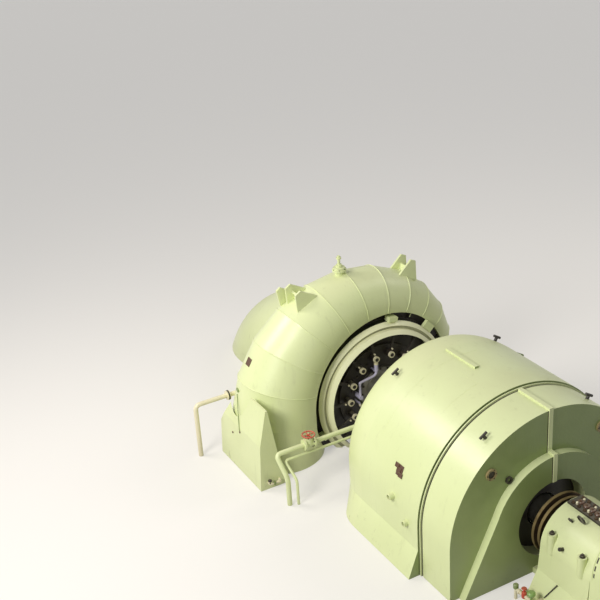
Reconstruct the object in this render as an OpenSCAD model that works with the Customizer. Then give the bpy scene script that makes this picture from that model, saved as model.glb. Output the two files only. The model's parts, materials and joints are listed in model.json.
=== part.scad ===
// Horizontal hydroelectric generating set, from the floor up: a spiral turbine case with its
// guide vane gear, a barrel generator with a split end shield, an outboard bearing and a
// round-topped guard. X runs along the shaft, towards the guard. Z is up and the floor is z = 0.

/* [Shaft line] */
// Height of the shaft above the floor
shaft_h = 725; // [690:5:800]
// Radius of the shaft in the generator
shaft_r = 210; // [190:5:230]
// Radius of the shaft's journals, at the bearing and at the turbine
journal_r = 170; // [150:5:185]
// Radius of the two coupling flanges
coupling_r = 360; // [320:5:400]
// Thickness of one coupling flange
coupling_t = 90; // [60:5:120]
// Place of the coupling's joint along the shaft
coupling_x = -1560; // [-1620:5:-1500]
// Air left between the turning shaft and what it passes
shaft_gap = 20; // [8:1:40]
// Radial running clearance in the bearing
running_gap = 0.05; // [0.01:0.01:0.1]

/* [Generator housing] */
// Radius of the barrel
housing_r = 1540; // [1480:5:1600]
// Length of the barrel's straight part
housing_l = 1324; // [1200:10:1500]
// Place of the barrel's exciter end along the shaft
housing_end_x = 904; // [860:5:960]
// Length of the rounded turbine end
round_l = 483; // [400:5:520]
// How much the radius shrinks over the rounded turbine end
round_drop = 131; // [100:1:180]
// How far the housing's skirt stands out beyond the barrel on the floor
skirt_out = 150; // [100:5:210]
// Height at which the skirt starts to widen
skirt_h = 390; // [300:5:480]
// Width of the joint band between barrel and end shield
band_w = 56; // [40:2:80]
// Depth of the joint band below the end shield's rim
band_d = 16; // [8:1:30]

/* [End shield] */
// How much smaller the end shield's radius is than the barrel's
shield_inset = 36; // [20:1:60]
// Length of the end shield along the shaft
shield_l = 577; // [520:5:640]
// Radius of the raised inner plate
plate_r = 910; // [860:5:960]
// How far the inner plate's foot stays inside the shield's edge
plate_inset = 134; // [80:2:190]
// Thickness of the inner plate
plate_t = 110; // [80:5:140]
// Radius of the hub opening
hub_r = 540; // [500:5:570]
// Depth of the hub opening behind the shield's face
hub_d = 260; // [200:10:320]
// Thickness of the labyrinth disc at the bottom of the hub opening
hub_disc_t = 40; // [20:5:60]
// How far the two inspection ports lie inside the shield's rim
port_inset = 214; // [150:2:260]
// Radius of an inspection port's ring
port_r = 78; // [60:2:95]

/* [Outboard bearing] */
// Place of the bearing's near end along the shaft
bearing_x = 2000; // [1980:5:2080]
// Length of the bearing along the shaft
bearing_l = 860; // [800:5:920]
// Radius of the bearing cap
cap_r = 500; // [460:5:540]
// How far the pedestal's foot stands out beyond the cap
pedestal_out = 160; // [120:5:200]
// How far the bedplate stands out beyond the pedestal's foot
bed_out = 60; // [40:5:100]
// Thickness of the bedplate
bed_t = 80; // [50:5:110]
// Distance of the four stud bosses from the bearing's middle, along the shaft
stud_dx = 262; // [220:2:300]
// Radius of a stud boss
stud_r = 58; // [46:2:66]

/* [Guard] */
// Radius of the guard's round top
guard_r = 990; // [940:5:1040]
// Length of the guard along the shaft
guard_l = 440; // [400:5:500]
// Gap between bearing and guard, under the shaft hood
guard_gap = 780; // [700:5:860]
// Radius of the shaft hood's round top
hood_r = 530; // [500:5:560]
// How far the hood's round top is centred above the shaft
hood_up = 175; // [120:5:200]
// Half width of the niche in the guard's end
niche_w = 500; // [450:5:540]
// Height of the niche
niche_h = 900; // [860:5:960]
// Depth of the niche
niche_d = 330; // [280:5:360]
// Radius of the shaft end housing in the niche
end_r = 190; // [180:5:230]
// How far the shaft end housing stands out of the niche
end_out = 320; // [260:5:380]

/* [Spiral case] */
// Place of the case's middle plane along the shaft
case_x = -2700; // [-2760:5:-2660]
// How far the circle that the case's sections touch lies inside the case's opening
case_in_drop = 330; // [300:5:360]
// Radius of the case's section at the inlet leg
inlet_r = 680; // [640:5:720]
// How much the section's radius shrinks in half a turn
shrink = 400; // [340:5:430]
// Number of mitred segments in the case
segments = 14; // [10:1:18]
// Angle that one segment turns through
segment_a = 16; // [15:0.5:16.5]
// How far the case's front opening lies outside the regulating ring
open_gap = 125; // [100:5:160]
// Half width of the stay ring along the shaft
stay_w = 280; // [240:5:300]

/* [Guide vane gear] */
// Number of guide vanes
vanes = 14; // [10:2:16]
// Radius of the circle that the vane stems stand on
vane_place_r = 610; // [590:5:640]
// Width of the regulating ring's face across the radius
ring_band_w = 165; // [140:5:190]
// Radius of the regulating ring outside
ring_out_r = 1135; // [1110:5:1160]
// Thickness of the regulating ring along the shaft
ring_t = 190; // [160:5:220]

/* [Draft tube] */
// Radius of the draft tube
draft_r = 840; // [800:5:880]
// Place where the draft tube starts to bend down
draft_bend_x = -4000; // [-4100:10:-3900]
// Radius of the draft tube's bend
draft_bend_r = 2160; // [2050:10:2300]

/* [Foot of the case] */
// How far the foot's outer plate stands out beyond the leg, at the floor
foot_out = 75; // [50:5:130]
// How far the plate leans in at its top, from the leg's side
foot_lean = 130; // [60:5:200]
// Length of the foot's outer plate along the shaft
foot_l = 1300; // [1240:10:1400]
// Height of the foot's outer plate
foot_h = 1280; // [1150:10:1350]
// Thickness of the foot's plates
foot_t = 30; // [20:2:40]
// Radius of an anchor bolt hole in the foot's base plate
anchor_r = 18; // [14:1:24]

/* [Pipework] */
// Height of the cooling water pipe
pipe_h = 750; // [700:5:800]
// Radius of the cooling water pipe and of the pressure pipe
pipe_r = 36; // [30:1:42]
// Place of the cooling water pipe along the shaft
pipe_x = -1560; // [-1600:5:-1520]
// Place of the pipe's upper knee across the shaft
pipe_side_y = -2230; // [-2280:5:-2180]
// Place across the shaft where the pipe meets the floor
pipe_foot_y = -2170; // [-2210:5:-2130]
// How far along the shaft the pipe's foot stands off
pipe_foot_dx = 190; // [150:5:230]
// Height of the pipe's lower knee
pipe_foot_h = 430; // [380:5:480]
// Place across the shaft where the pipe enters the generator
pipe_in_y = -620; // [-660:5:-560]
// How far a thick pipe's knee reaches along its legs
pipe_knee_l = 80; // [60:2:100]
// Place of the valve across the shaft
valve_y = -1700; // [-1740:5:-1660]
// Radius of the thinner pipe beside it
thin_pipe_r = 20; // [16:1:24]
// How far the thin pipe runs below the thick one
thin_drop = 130; // [110:5:160]
// Place of the thin pipe's upper knee across the shaft
thin_side_y = -2110; // [-2140:5:-2080]
// Place across the shaft where the thin pipe meets the floor
thin_foot_y = -2060; // [-2090:5:-2030]
// How far along the shaft the thin pipe's foot stands off
thin_foot_dx = 250; // [220:5:280]
// Height of the thin pipe's lower knee
thin_foot_h = 400; // [360:5:440]
// Place across the shaft where the thin pipe enters the generator
thin_in_y = -760; // [-800:5:-720]
// Place of the pressure pipe along the shaft
stub_x = -3260; // [-3300:5:-3220]
// Height of the pressure pipe
stub_h = 880; // [840:5:920]
// How far the pressure pipe's drop stands off the middle of the inlet leg
stub_off = 1080; // [1030:5:1130]
// How far the pressure pipe's flange stands off the middle of the inlet leg
stub_flange_off = 510; // [480:5:550]
// Radius of the valve's handwheel
wheel_r = 100; // [85:1:120]

/* [Hidden] */
$fn = 96;

far = 9000;
seat_gap = 0.3;
shield_r = housing_r - shield_inset;
band_r = shield_r - band_d;
turbine_face_r = housing_r - round_drop;
skirt_foot = housing_r + skirt_out;
open_r = ring_out_r + open_gap;
case_in_r = open_r - case_in_drop;
ring_in_r = ring_out_r - ring_band_w;
plate_foot = shield_r - plate_inset;
housing_x = housing_end_x - housing_l;
turbine_face_x = housing_x - round_l;
shield_x = housing_end_x + band_w;
shield_end_x = shield_x + shield_l;
plate_end_x = shield_end_x + plate_t;
bearing_end_x = bearing_x + bearing_l;
guard_x = bearing_end_x + guard_gap;
guard_end_x = guard_x + guard_l;
hood_gap = 40;
hood_x = bearing_end_x + hood_gap;
end_face_x = guard_end_x + end_out;
stay_front_x = case_x + stay_w;
stay_back_x = case_x - stay_w;
arc_steps = 36;
ring_sides = 40;

paint = [0.80, 0.87, 0.62];
paint_dark = [0.55, 0.66, 0.42];
iron = [0.13, 0.11, 0.10];
steel = [0.62, 0.62, 0.64];
bronze = [0.45, 0.32, 0.20];

// Helpers

// A flat outline in Y and Z, drawn out along X
module along_x(x, len) {
    translate([x, 0, 0]) rotate([90, 0, 90]) linear_extrude(len) children();
}

// A profile of radius and place along X, turned round the shaft line
module round_shaft() {
    translate([0, 0, shaft_h]) rotate([0, 90, 0]) rotate_extrude() children();
}

// A plain ring or disc round the shaft line
module ring_x(x, len, r_out, r_in = 0) {
    translate([x, 0, shaft_h]) rotate([0, 90, 0]) difference() {
        cylinder(h = len, r = r_out);
        if (r_in > 0) translate([0, 0, -1]) cylinder(h = len + 2, r = r_in);
    }
}

// Only what is above the floor
module above_floor() {
    intersection() {
        children();
        translate([-far, -far, 0]) cube([2 * far, 2 * far, far]);
    }
}

// Only what is farther than r from the shaft line
module outside(r) {
    difference() {
        children();
        ring_x(-far / 2, far, r + seat_gap, $fn = 360);
    }
}

// Turns round the shaft line so that a piece made at the top lands at angle a from +Y
module at_angle(a) {
    translate([0, 0, shaft_h]) rotate([a - 90, 0, 0]) translate([0, 0, -shaft_h]) children();
}

// A straight round bar between two points
module bar(p, q, r) {
    v = q - p;
    translate(p) rotate([0, acos(v[2] / norm(v)), atan2(v[1], v[0])]) cylinder(h = norm(v), r = r, $fn = 32);
}

// A pipe through points, with bent knees: each corner is a curve that starts and ends knee_l away
pipe_sides = 16;
knee_steps = 5;
function unit(v) = v / norm(v);
function knee(p, q, r, knee_l) = let (a = q + knee_l * unit(p - q), b = q + knee_l * unit(r - q))
    [for (k = [0 : knee_steps]) let (t = k / knee_steps)
        (1 - t) * (1 - t) * a + 2 * t * (1 - t) * q + t * t * b];
function pipe_path(points, knee_l) = concat([points[0]],
    [for (i = [1 : 1 : len(points) - 2]) each knee(points[i - 1], points[i], points[i + 1], knee_l)],
    [points[len(points) - 1]]);
function tangents(path) = [for (i = [0 : len(path) - 1])
    unit(path[min(i + 1, len(path) - 1)] - path[max(i - 1, 0)])];
function square_to(v, t) = unit(v - (v * t) * t);
function normals(ts, i, n) = i >= len(ts) ? []
    : let (m = square_to(n, ts[i])) concat([m], normals(ts, i + 1, m));
module pipe_run(points, r, knee_l) {
    path = pipe_path(points, knee_l);
    ts = tangents(path);
    ns = normals(ts, 0, abs(ts[0][2]) > 0.9 ? [1, 0, 0] : [0, 0, 1]);
    loft([for (k = [0 : len(path) - 1]) [for (j = [0 : pipe_sides - 1])
        let (a = -360 * j / pipe_sides) path[k] + r * (cos(a) * ns[k] + sin(a) * cross(ts[k], ns[k]))]]);
}

// A skin through closed rings of points, all of the same count
module loft(rings) {
    n = len(rings[0]);
    m = len(rings);
    points = [for (ring = rings) for (p = ring) p];
    sides = [for (j = [0 : m - 2]) for (i = [0 : n - 1])
        [j * n + i, j * n + (i + 1) % n, (j + 1) * n + (i + 1) % n, (j + 1) * n + i]];
    first = [for (i = [n - 1 : -1 : 0]) i];
    last = [for (i = [0 : n - 1]) (m - 1) * n + i];
    polyhedron(points, concat([first], sides, [last]), convexity = 8);
}

// Outline of the generator across the shaft: a round top on walls that widen to a foot
module arch(r, foot, knee) {
    intersection() {
        union() {
            translate([0, shaft_h]) circle(r, $fn = 180);
            polygon([[-foot, 0], [foot, 0], [r, knee], [r, shaft_h], [-r, shaft_h], [-r, knee]]);
        }
        translate([-far, 0]) square([2 * far, far]);
    }
}

// The same outline as a ring of points at one place along X
function arch_ring(x, r, foot, knee) = concat(
    [for (i = [0 : arc_steps]) let (a = 180 * i / arc_steps) [x, r * cos(a), shaft_h + r * sin(a)]],
    [[x, -r, knee], [x, -foot, 0], [x, foot, 0], [x, r, knee]]);

// The inner plate's outline: a round top whose sides run straight out to the floor
plate_tangent = 20;
module bell(r, foot) {
    tangent_y = r * cos(plate_tangent);
    tangent_z = shaft_h + r * sin(plate_tangent);
    intersection() {
        union() {
            translate([0, shaft_h]) circle(r, $fn = 180);
            polygon([[-foot, 0], [foot, 0], [tangent_y, tangent_z], [-tangent_y, tangent_z]]);
        }
        translate([-far, 0]) square([2 * far, far]);
    }
}

module near_half() {
    intersection() {
        children();
        translate([-far, -far, -far]) cube([2 * far, far, 2 * far]);
    }
}

module far_half() {
    intersection() {
        children();
        translate([-far, 0, -far]) cube([2 * far, far, 2 * far]);
    }
}

// Spiral case

// Radius of the case's section at angle a, and of the line through the sections' middles
function section_r(a) = inlet_r - shrink * (180 - a) / 180;
function middle_r(a) = case_in_r + section_r(a);
function section_ring(a) = [for (i = [0 : ring_sides - 1])
    let (b = 360 * i / ring_sides, d = middle_r(a) + section_r(a) * cos(b))
    [case_x + section_r(a) * sin(b), d * cos(a), shaft_h + d * sin(a)]];
// Radius of the case's outside at angle a
function case_out_r(a) = middle_r(a) + section_r(a);

module case_skin() {
    loft([for (i = [segments : -1 : 0]) section_ring(180 - i * segment_a)]);
}
module inlet_skin() {
    translate([case_x, -middle_r(180), 0]) cylinder(h = shaft_h, r = inlet_r, $fn = 360);
}

module spiral_case() {
    color(paint) above_floor() difference() {
        case_skin();
        ring_x(case_x - far / 2, far, open_r);
    }
}

module inlet_leg() {
    color(paint) difference() {
        inlet_skin();
        ring_x(case_x - far / 2, far, open_r, $fn = 360);
    }
}

// The foot's outer plate leans on the case, and a tapered plate stands at each of its ends
foot_shift = 170;
foot_x = case_x - foot_l / 2 + foot_shift;
foot_gusset = 395;
foot_back_h = 560;
foot_waist_y = middle_r(180) + inlet_r + seat_gap;
foot_y = middle_r(180) + inlet_r + foot_out;
foot_top_y = middle_r(180) + inlet_r - foot_lean;
module foot_plates() {
    end_x = foot_x + foot_l;
    color(paint) difference() {
        union() {
            along_x(foot_x, foot_l) polygon([[-foot_y, foot_t], [-foot_y + foot_t, foot_t],
                [-foot_waist_y, shaft_h], [-foot_top_y, foot_h], [-foot_top_y - foot_t, foot_h],
                [-foot_waist_y - foot_t, shaft_h]]);
            for (x = [foot_x, end_x - foot_t])
                along_x(x, foot_t) polygon([[-foot_y, foot_t], [-foot_y + foot_gusset, foot_t],
                    [-foot_top_y, foot_h], [-foot_top_y - foot_t, foot_h],
                    [-foot_waist_y - foot_t, shaft_h]]);
        }
        translate([case_x, -middle_r(180), 0]) cylinder(h = foot_h, r = inlet_r + seat_gap);
        // The end away from the generator is cut down on a slope
        translate([0, far / 2, 0]) rotate([90, 0, 0]) linear_extrude(far)
            polygon([[foot_x - 1, foot_back_h], [case_x, foot_h], [case_x, foot_h + 1],
                [foot_x - 1, foot_h + 1]]);
    }
}

// Base plate under the foot, with anchor bolt holes in the corners that the leg leaves free
anchor_inset = 75;
anchor_dx = foot_l - 2 * anchor_inset;
module foot_base() {
    color(paint_dark) difference() {
        translate([foot_x, -foot_y, 0]) cube([foot_l, foot_gusset, foot_t]);
        translate([case_x, -middle_r(180), -1]) cylinder(h = foot_t + 2, r = inlet_r + seat_gap);
        for (x = [foot_x + anchor_inset, foot_x + foot_l - anchor_inset])
            translate([x, -foot_y + anchor_inset, -1]) cylinder(h = foot_t + 2, r = anchor_r, $fn = 32);
    }
}

// Stay ring with its radial ribs, and the head cover inside it
rib_w = 50;
rib_t = 24;
rib_step = 18;
rib_first_a = -30;
rib_last_a = 210;
rib_gap = 5;
cover_t = 60;
cover_rim = 20;
cover_out_r = ring_out_r + cover_rim;
cover_front_x = stay_front_x + cover_t;
boss_land_w = 130;
boss_land_t = 50;
land_x = cover_front_x + boss_land_t;
module stay_ring() {
    color(iron) above_floor() {
        ring_x(stay_back_x, 2 * stay_w, open_r, draft_r);
        for (a = [rib_first_a : rib_step : rib_last_a])
            at_angle(a) translate([stay_front_x, -rib_t / 2, shaft_h + cover_out_r + rib_gap])
                cube([rib_w, rib_t, open_r - cover_out_r - 2 * rib_gap]);
    }
}

module head_cover() {
    color(iron) above_floor() difference() {
        union() {
            ring_x(stay_back_x, stay_front_x - stay_back_x, draft_r);
            ring_x(stay_front_x, cover_t, cover_out_r);
            ring_x(cover_front_x, boss_land_t, vane_place_r + boss_land_w, vane_place_r - boss_land_w);
        }
        ring_x(shaft_x0 - shaft_gap, far, journal_r + shaft_gap);
    }
}

// Guide vane stems in their bosses, and the levers that join them to the regulating ring
boss_r = 54;
boss_t = 70;
stem_r = 30;
stem_t = 40;
lever_t = 26;
lever_w = 40;
lever_eye = 18;
lever_end_gap = 60;
lever_r = ring_in_r - lever_end_gap;
first_vane_a = 180;
vane_pitch_a = 360 / vanes;
module vane_stems() {
    color(iron) for (i = [0 : vanes - 1])
        at_angle(first_vane_a + i * vane_pitch_a)
            translate([land_x, 0, shaft_h + vane_place_r]) rotate([0, 90, 0]) {
                cylinder(h = boss_t, r = boss_r, $fn = 32);
                cylinder(h = boss_t + lever_t + stem_t, r = stem_r, $fn = 32);
            }
}

module vane_levers() {
    color(iron) for (i = [0 : vanes - 1])
        at_angle(first_vane_a + i * vane_pitch_a)
            translate([land_x + boss_t, 0, shaft_h + vane_place_r]) rotate([0, 90, 0]) difference() {
                union() {
                    cylinder(h = lever_t, r = stem_r + lever_eye, $fn = 32);
                    translate([-lever_r + vane_place_r, -lever_w / 2, 0])
                        cube([lever_r - vane_place_r, lever_w, lever_t]);
                }
                translate([0, 0, -1]) cylinder(h = lever_t + 2, r = stem_r, $fn = 32);
            }
}

// Regulating ring: a cone-faced channel that rides on the head cover's rim
ring_x0 = cover_front_x;
ring_slope = 0.95;
ring_groove_w = 46;
ring_groove_d = 26;
ring_lip = 70;
// Place of the ring's sloping face at radius r
function ring_face_x(r) = ring_x0 + ring_t + ring_lip - (r - ring_in_r) * ring_slope;
module regulating_ring() {
    groove_in = (ring_in_r + ring_out_r - ring_groove_w) / 2;
    groove_out = groove_in + ring_groove_w;
    groove_x = ring_face_x(groove_out) - ring_groove_d;
    color(paint) above_floor() round_shaft() polygon([
        [ring_in_r, ring_x0], [ring_out_r, ring_x0], [ring_out_r, ring_face_x(ring_out_r)],
        [groove_out, ring_face_x(groove_out)], [groove_out, groove_x], [groove_in, groove_x],
        [groove_in, ring_face_x(groove_in)], [ring_in_r, ring_face_x(ring_in_r)]]);
}

// Lugs on the ring: the governor's lug high on the far side, a clamp block and the split at the bottom
lug_t = 60;
lug_inset = 20;
lug_w = ring_t - 3 * lug_inset;
lug_sink = 10;
block_a = 80;
block_w = 150;
block_h = 70;
split_a = 203;
split_w = 90;
split_h = 60;
governor_a = 44;
governor_w = 180;
governor_h = 120;
governor_x = ring_x0 + 55;
module ring_lug(a, x, wid, across, h) {
    at_angle(a) translate([x, -across / 2, shaft_h + ring_out_r - lug_sink])
        cube([wid, across, h + lug_sink]);
}

module ring_lugs() {
    color(paint) difference() {
        union() {
            ring_lug(block_a, ring_x0 + lug_inset, lug_w, block_w, block_h);
            ring_lug(split_a, ring_x0 + lug_inset, lug_w, split_w, split_h);
            ring_lug(governor_a, governor_x, lug_t, governor_w, governor_h);
        }
        ring_x(ring_x0 - 1, 2 * ring_t, ring_out_r);
    }
}

// The governor's rod runs from its lug up to a seat on the barrel's far shoulder
rod_r = 32;
rod_place_r = ring_out_r + governor_h / 2;
rod_seat_a = 43.5;
rod_seat_dx = 70;
module governor_rod() {
    rod_x = governor_x + lug_t;
    start = [rod_x - lug_t / 2, rod_place_r * cos(governor_a), shaft_h + rod_place_r * sin(governor_a)];
    seat = [housing_x + rod_seat_dx, housing_r * cos(rod_seat_a), shaft_h + housing_r * sin(rod_seat_a)];
    color(paint_dark) difference() {
        outside(housing_r) bar(start, seat, rod_r);
        translate([-far, -far, -far]) cube([far + rod_x + seat_gap, 2 * far, 2 * far]);
    }
}

// Seal housing round the shaft where it leaves the head cover
seal_r = 300;
seal_l = 260;
seal_base_t = 50;
seal_base_w = 60;
seal_rim_t = 40;
seal_rim_w = 20;
seal_neck = 30;
module seal_housing() {
    color(steel) difference() {
        union() {
            ring_x(cover_front_x, seal_base_t, seal_r + seal_base_w);
            ring_x(cover_front_x + seal_base_t, seal_l - seal_base_t - seal_rim_t, seal_r - seal_neck);
            ring_x(cover_front_x + seal_l - seal_rim_t, seal_rim_t, seal_r + seal_rim_w);
        }
        ring_x(cover_front_x - 1, seal_l + 2, journal_r + shaft_gap);
    }
}

// Seal water pipes: one rises beside the seal housing to a cock, one runs down to a drain
seal_pipe_r = 20;
seal_pipe_dx = 140;
seal_pipe_y = -430;
seal_pipe_up = 30;
seal_knee_up = 275;
seal_bend_y = -175;
seal_bend_up = 315;
seal_top_y = -130;
seal_cock_up = 355;
seal_cock_r = 32;
seal_cock_l = 120;
seal_stub_l = 170;
seal_stub_r = 34;
seal_brace_r = 16;
seal_brace_up = 375;
drain_y = -455;
drain_up = -65;
drain_drop = 180;
drain_in = 85;
drain_r = 15;
module seal_pipes() {
    x = cover_front_x + seal_pipe_dx;
    cock_z = shaft_h + seal_cock_up + 2 * seal_pipe_r;
    color([0.78, 0.76, 0.84]) {
        pipe_run([[x, seal_pipe_y, shaft_h + seal_pipe_up], [x, seal_pipe_y, shaft_h + seal_knee_up],
            [x, seal_bend_y, shaft_h + seal_bend_up], [x, seal_top_y, shaft_h + seal_cock_up],
            [x, seal_top_y, cock_z]], seal_pipe_r, 18);
        translate([x, seal_top_y, cock_z]) cylinder(h = seal_cock_l, r = seal_cock_r, $fn = 32);
        translate([cover_front_x, seal_pipe_y, shaft_h + seal_pipe_up]) rotate([0, 90, 0])
            cylinder(h = seal_stub_l, r = seal_stub_r, $fn = 32);
        bar([cover_front_x, seal_top_y, shaft_h + seal_brace_up],
            [x, seal_top_y, shaft_h + seal_brace_up], seal_brace_r);
        bar([cover_front_x, drain_y, shaft_h + drain_up], [x, drain_y, shaft_h + drain_up], drain_r);
        bar([x, drain_y, shaft_h + drain_up + drain_r - 3],
            [x, drain_y + drain_in, shaft_h + drain_up - drain_drop], drain_r - 1);
    }
}

// Draft tube: a straight piece behind the case, then the bend that goes down through the floor
flange_w = 110;
flange_t = 50;
module draft_cone() {
    color(paint) above_floor() {
        ring_x(draft_bend_x + flange_t, stay_back_x - draft_bend_x - flange_t, draft_r);
        ring_x(draft_bend_x, flange_t, draft_r + flange_w);
        ring_x(stay_back_x - flange_t, flange_t, draft_r + flange_w);
    }
}

bend_a = acos(1 - (shaft_h + draft_r) / draft_bend_r);
bend_steps = 14;
module draft_elbow() {
    color(paint) above_floor() {
        loft([for (j = [0 : bend_steps]) let (s = j * min(bend_a, 80) / bend_steps)
            [for (i = [0 : ring_sides - 1])
                let (b = -360 * i / ring_sides, q = draft_bend_r + draft_r * cos(b))
                [draft_bend_x - flange_t - q * sin(s), draft_r * sin(b),
                    shaft_h - draft_bend_r + q * cos(s)]]]);
        ring_x(draft_bend_x - flange_t, flange_t, draft_r + flange_w);
    }
}

// Lifting lugs: pairs of pointed plates welded square to the case, with a web between them
lug_plate_t = 34;
lug_sunk = 70;
// The web's height and the plate's point, as shares of the lug's height and width
lug_web_h = 0.45;
lug_point_w = 0.125;
module lug_plate(a, x, h, w) {
    seat = case_out_r(a) - lug_sunk;
    at_angle(a) translate([x, 0, shaft_h + seat]) rotate([90, 0, 90])
        linear_extrude(lug_plate_t) polygon([[-w / 2, 0], [w / 2, 0],
            [w * lug_point_w, h + lug_sunk], [-w * lug_point_w, h + lug_sunk]]);
}

module lug_pair(a, x, spread, h, w) {
    seat = case_out_r(a) - lug_sunk;
    difference() {
        union() {
            for (s = [-1, 1]) lug_plate(a, x + s * spread / 2 - lug_plate_t / 2, h, w);
            at_angle(a) translate([x - spread / 2, -lug_plate_t / 2, shaft_h + seat])
                cube([spread, lug_plate_t, lug_sunk + h * lug_web_h]);
        }
        case_skin();
    }
}

// Angle and offset from the case's middle, then spread, height and width of each group
front_lug_a = 123;
front_lug_spread = 300;
front_lug_h = 200;
front_lug_w = 400;
back_lug_a = 126;
back_lug_h = 190;
back_lug_w = 320;
far_lug_a = 67;
far_lug_spread = 260;
far_lug_h = 230;
far_lug_w = 360;
lug_dx = 30;
back_lug_dx = -260;
module lug_front() {
    color(paint) lug_pair(front_lug_a, case_x + lug_dx, front_lug_spread, front_lug_h, front_lug_w);
}

module lug_back() {
    color(paint) difference() {
        lug_plate(back_lug_a, case_x + back_lug_dx, back_lug_h, back_lug_w);
        case_skin();
    }
}

module lug_far() {
    color(paint) lug_pair(far_lug_a, case_x + lug_dx, far_lug_spread, far_lug_h, far_lug_w);
}

// Air valve: a flanged stub on top of the case, with a thin spindle pipe
air_a = 102;
air_sunk = 60;
air_r = 62;
air_flange_r = 105;
air_flange_t = 30;
air_cap_r = 88;
air_cap_t = 28;
air_h = 50;
air_neck_r = 46;
air_neck_l = 40;
air_pipe_r = 22;
air_pipe_l = 180;
air_nut_r = 38;
air_nut_t = 24;
module air_valve() {
    seat = case_out_r(air_a);
    flange_z = air_sunk + air_h;
    cap_z = flange_z + air_flange_t;
    neck_z = cap_z + air_cap_t;
    color(paint) difference() {
        translate([case_x, seat * cos(air_a), shaft_h + seat * sin(air_a) - air_sunk]) {
            cylinder(h = cap_z, r = air_r, $fn = 48);
            translate([0, 0, flange_z]) cylinder(h = air_flange_t, r = air_flange_r, $fn = 48);
            translate([0, 0, cap_z]) cylinder(h = air_cap_t, r = air_cap_r, $fn = 48);
            translate([0, 0, neck_z]) cylinder(h = air_neck_l, r = air_neck_r, $fn = 48);
            translate([0, 0, neck_z]) cylinder(h = air_pipe_l, r = air_pipe_r, $fn = 32);
            translate([0, 0, neck_z + air_pipe_l - 2 * air_nut_t])
                cylinder(h = air_nut_t, r = air_nut_r, $fn = 32);
        }
        case_skin();
    }
}

// Generator

bore_r = shaft_r + shaft_gap;
// A flat rail along the top of the barrel
rail_inset = 20;
rail_l = 640;
rail_y = -150;
rail_w = 60;
rail_t = 24;
rail_sunk = 20;
module stator_housing() {
    color(paint) difference() {
        union() {
            along_x(housing_x, housing_l) arch(housing_r, skirt_foot, skirt_h);
            along_x(housing_x + rail_inset, rail_l) translate([rail_y, shaft_h + housing_r - rail_sunk])
                square([rail_w, rail_sunk + rail_t]);
        }
        ring_x(housing_x - 1, housing_l + 2, bore_r);
    }
}

round_steps = 6;
// Radius of the rounded end at a place along X
function round_r(x) = housing_r - (housing_r - turbine_face_r) * (1 - cos(asin((housing_x - x) / round_l)));
module turbine_end() {
    color(paint) difference() {
        loft([for (j = [round_steps : -1 : 0]) let (a = 90 * j / round_steps,
                k = 1 - cos(a), x = housing_x - round_l * sin(a))
            arch_ring(x, housing_r - (housing_r - turbine_face_r) * k,
                skirt_foot - (skirt_foot - turbine_face_r) * k, skirt_h)]);
        ring_x(turbine_face_x - 1, round_l + 2, bore_r);
    }
}

// Shaft seal housing on the generator's turbine end
turbine_bearing_r = 400;
turbine_bearing_l = 230;
turbine_flange_t = 60;
turbine_flange_w = 90;
module turbine_bearing() {
    color(paint) difference() {
        union() {
            ring_x(turbine_face_x - turbine_flange_t, turbine_flange_t, turbine_bearing_r + turbine_flange_w);
            ring_x(turbine_face_x - turbine_bearing_l, turbine_bearing_l - turbine_flange_t,
                turbine_bearing_r);
        }
        ring_x(turbine_face_x - turbine_bearing_l - 1, turbine_bearing_l + 2, bore_r);
    }
}

module joint_band() {
    color(paint_dark) difference() {
        along_x(housing_end_x, band_w) arch(band_r, band_r, skirt_h);
        ring_x(housing_end_x - 1, band_w + 2, bore_r);
    }
}

module shield() {
    color(paint) difference() {
        along_x(shield_x, shield_l) arch(shield_r, shield_r, skirt_h);
        ring_x(shield_x - 1, far, bore_r);
        ring_x(shield_end_x + plate_t - hub_d, far, hub_r);
    }
}

module shield_near() { near_half() shield(); }
module shield_far() { far_half() shield(); }

module inner_plate() {
    color(paint_dark) difference() {
        along_x(shield_end_x, plate_t) bell(plate_r, plate_foot);
        ring_x(shield_end_x - 1, far, hub_r);
    }
}

module plate_near() { near_half() inner_plate(); }
module plate_far() { far_half() inner_plate(); }

// Flange bars along the end shield's split, on the rim and down the face
bar_w = 60;
bar_t = 34;
face_bar_t = 16;
module shield_bars() {
    color(paint) {
        translate([shield_x, -bar_w / 2, shaft_h + shield_r]) cube([shield_l + face_bar_t, bar_w, bar_t]);
        translate([shield_end_x, -bar_w / 2, shaft_h + plate_r])
            cube([face_bar_t, bar_w, shield_r - plate_r]);
        translate([shield_end_x, -bar_w / 2, shaft_h + plate_r]) cube([plate_t + face_bar_t, bar_w, bar_t]);
        translate([plate_end_x, -bar_w / 2, shaft_h + hub_r]) cube([face_bar_t, bar_w, plate_r - hub_r]);
    }
}

port_a = [50, 134];
port_place_r = shield_r - port_inset;
port_t = 26;
port_sunk = 18;
port_wall = 26;
module port_rings() {
    color(bronze) for (a = port_a)
        at_angle(a) translate([shield_end_x, 0, shaft_h + port_place_r]) rotate([0, 90, 0]) difference() {
            cylinder(h = port_t, r = port_r, $fn = 48);
            translate([0, 0, port_t - port_sunk]) cylinder(h = port_t, r = port_r - port_wall, $fn = 48);
        }
}

// Lifting hooks on the barrel and the end shield: a short post with a cross bar
hook_a = [58, 122];
hook_h = 70;
hook_x = -573;
hook_sunk = 12;
shield_hook_x = 1300;
hook_post_r = 22;
hook_bar_r = 18;
hook_bar_l = 120;
// How far the rounded end's flats lie below its curve at the hooks
round_sag = 1;
eye_a = 130;
eye_r = 50;
eye_wall = 22;
eye_t = 22;
eye_gap = 12;
module hook(a, x, r) {
    at_angle(a) translate([x, 0, shaft_h + r]) {
        cylinder(h = hook_h, r = hook_post_r, $fn = 24);
        translate([0, hook_bar_l / 2, hook_h]) rotate([90, 0, 0])
            cylinder(h = hook_bar_l, r = hook_bar_r, $fn = 24);
    }
}

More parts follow.
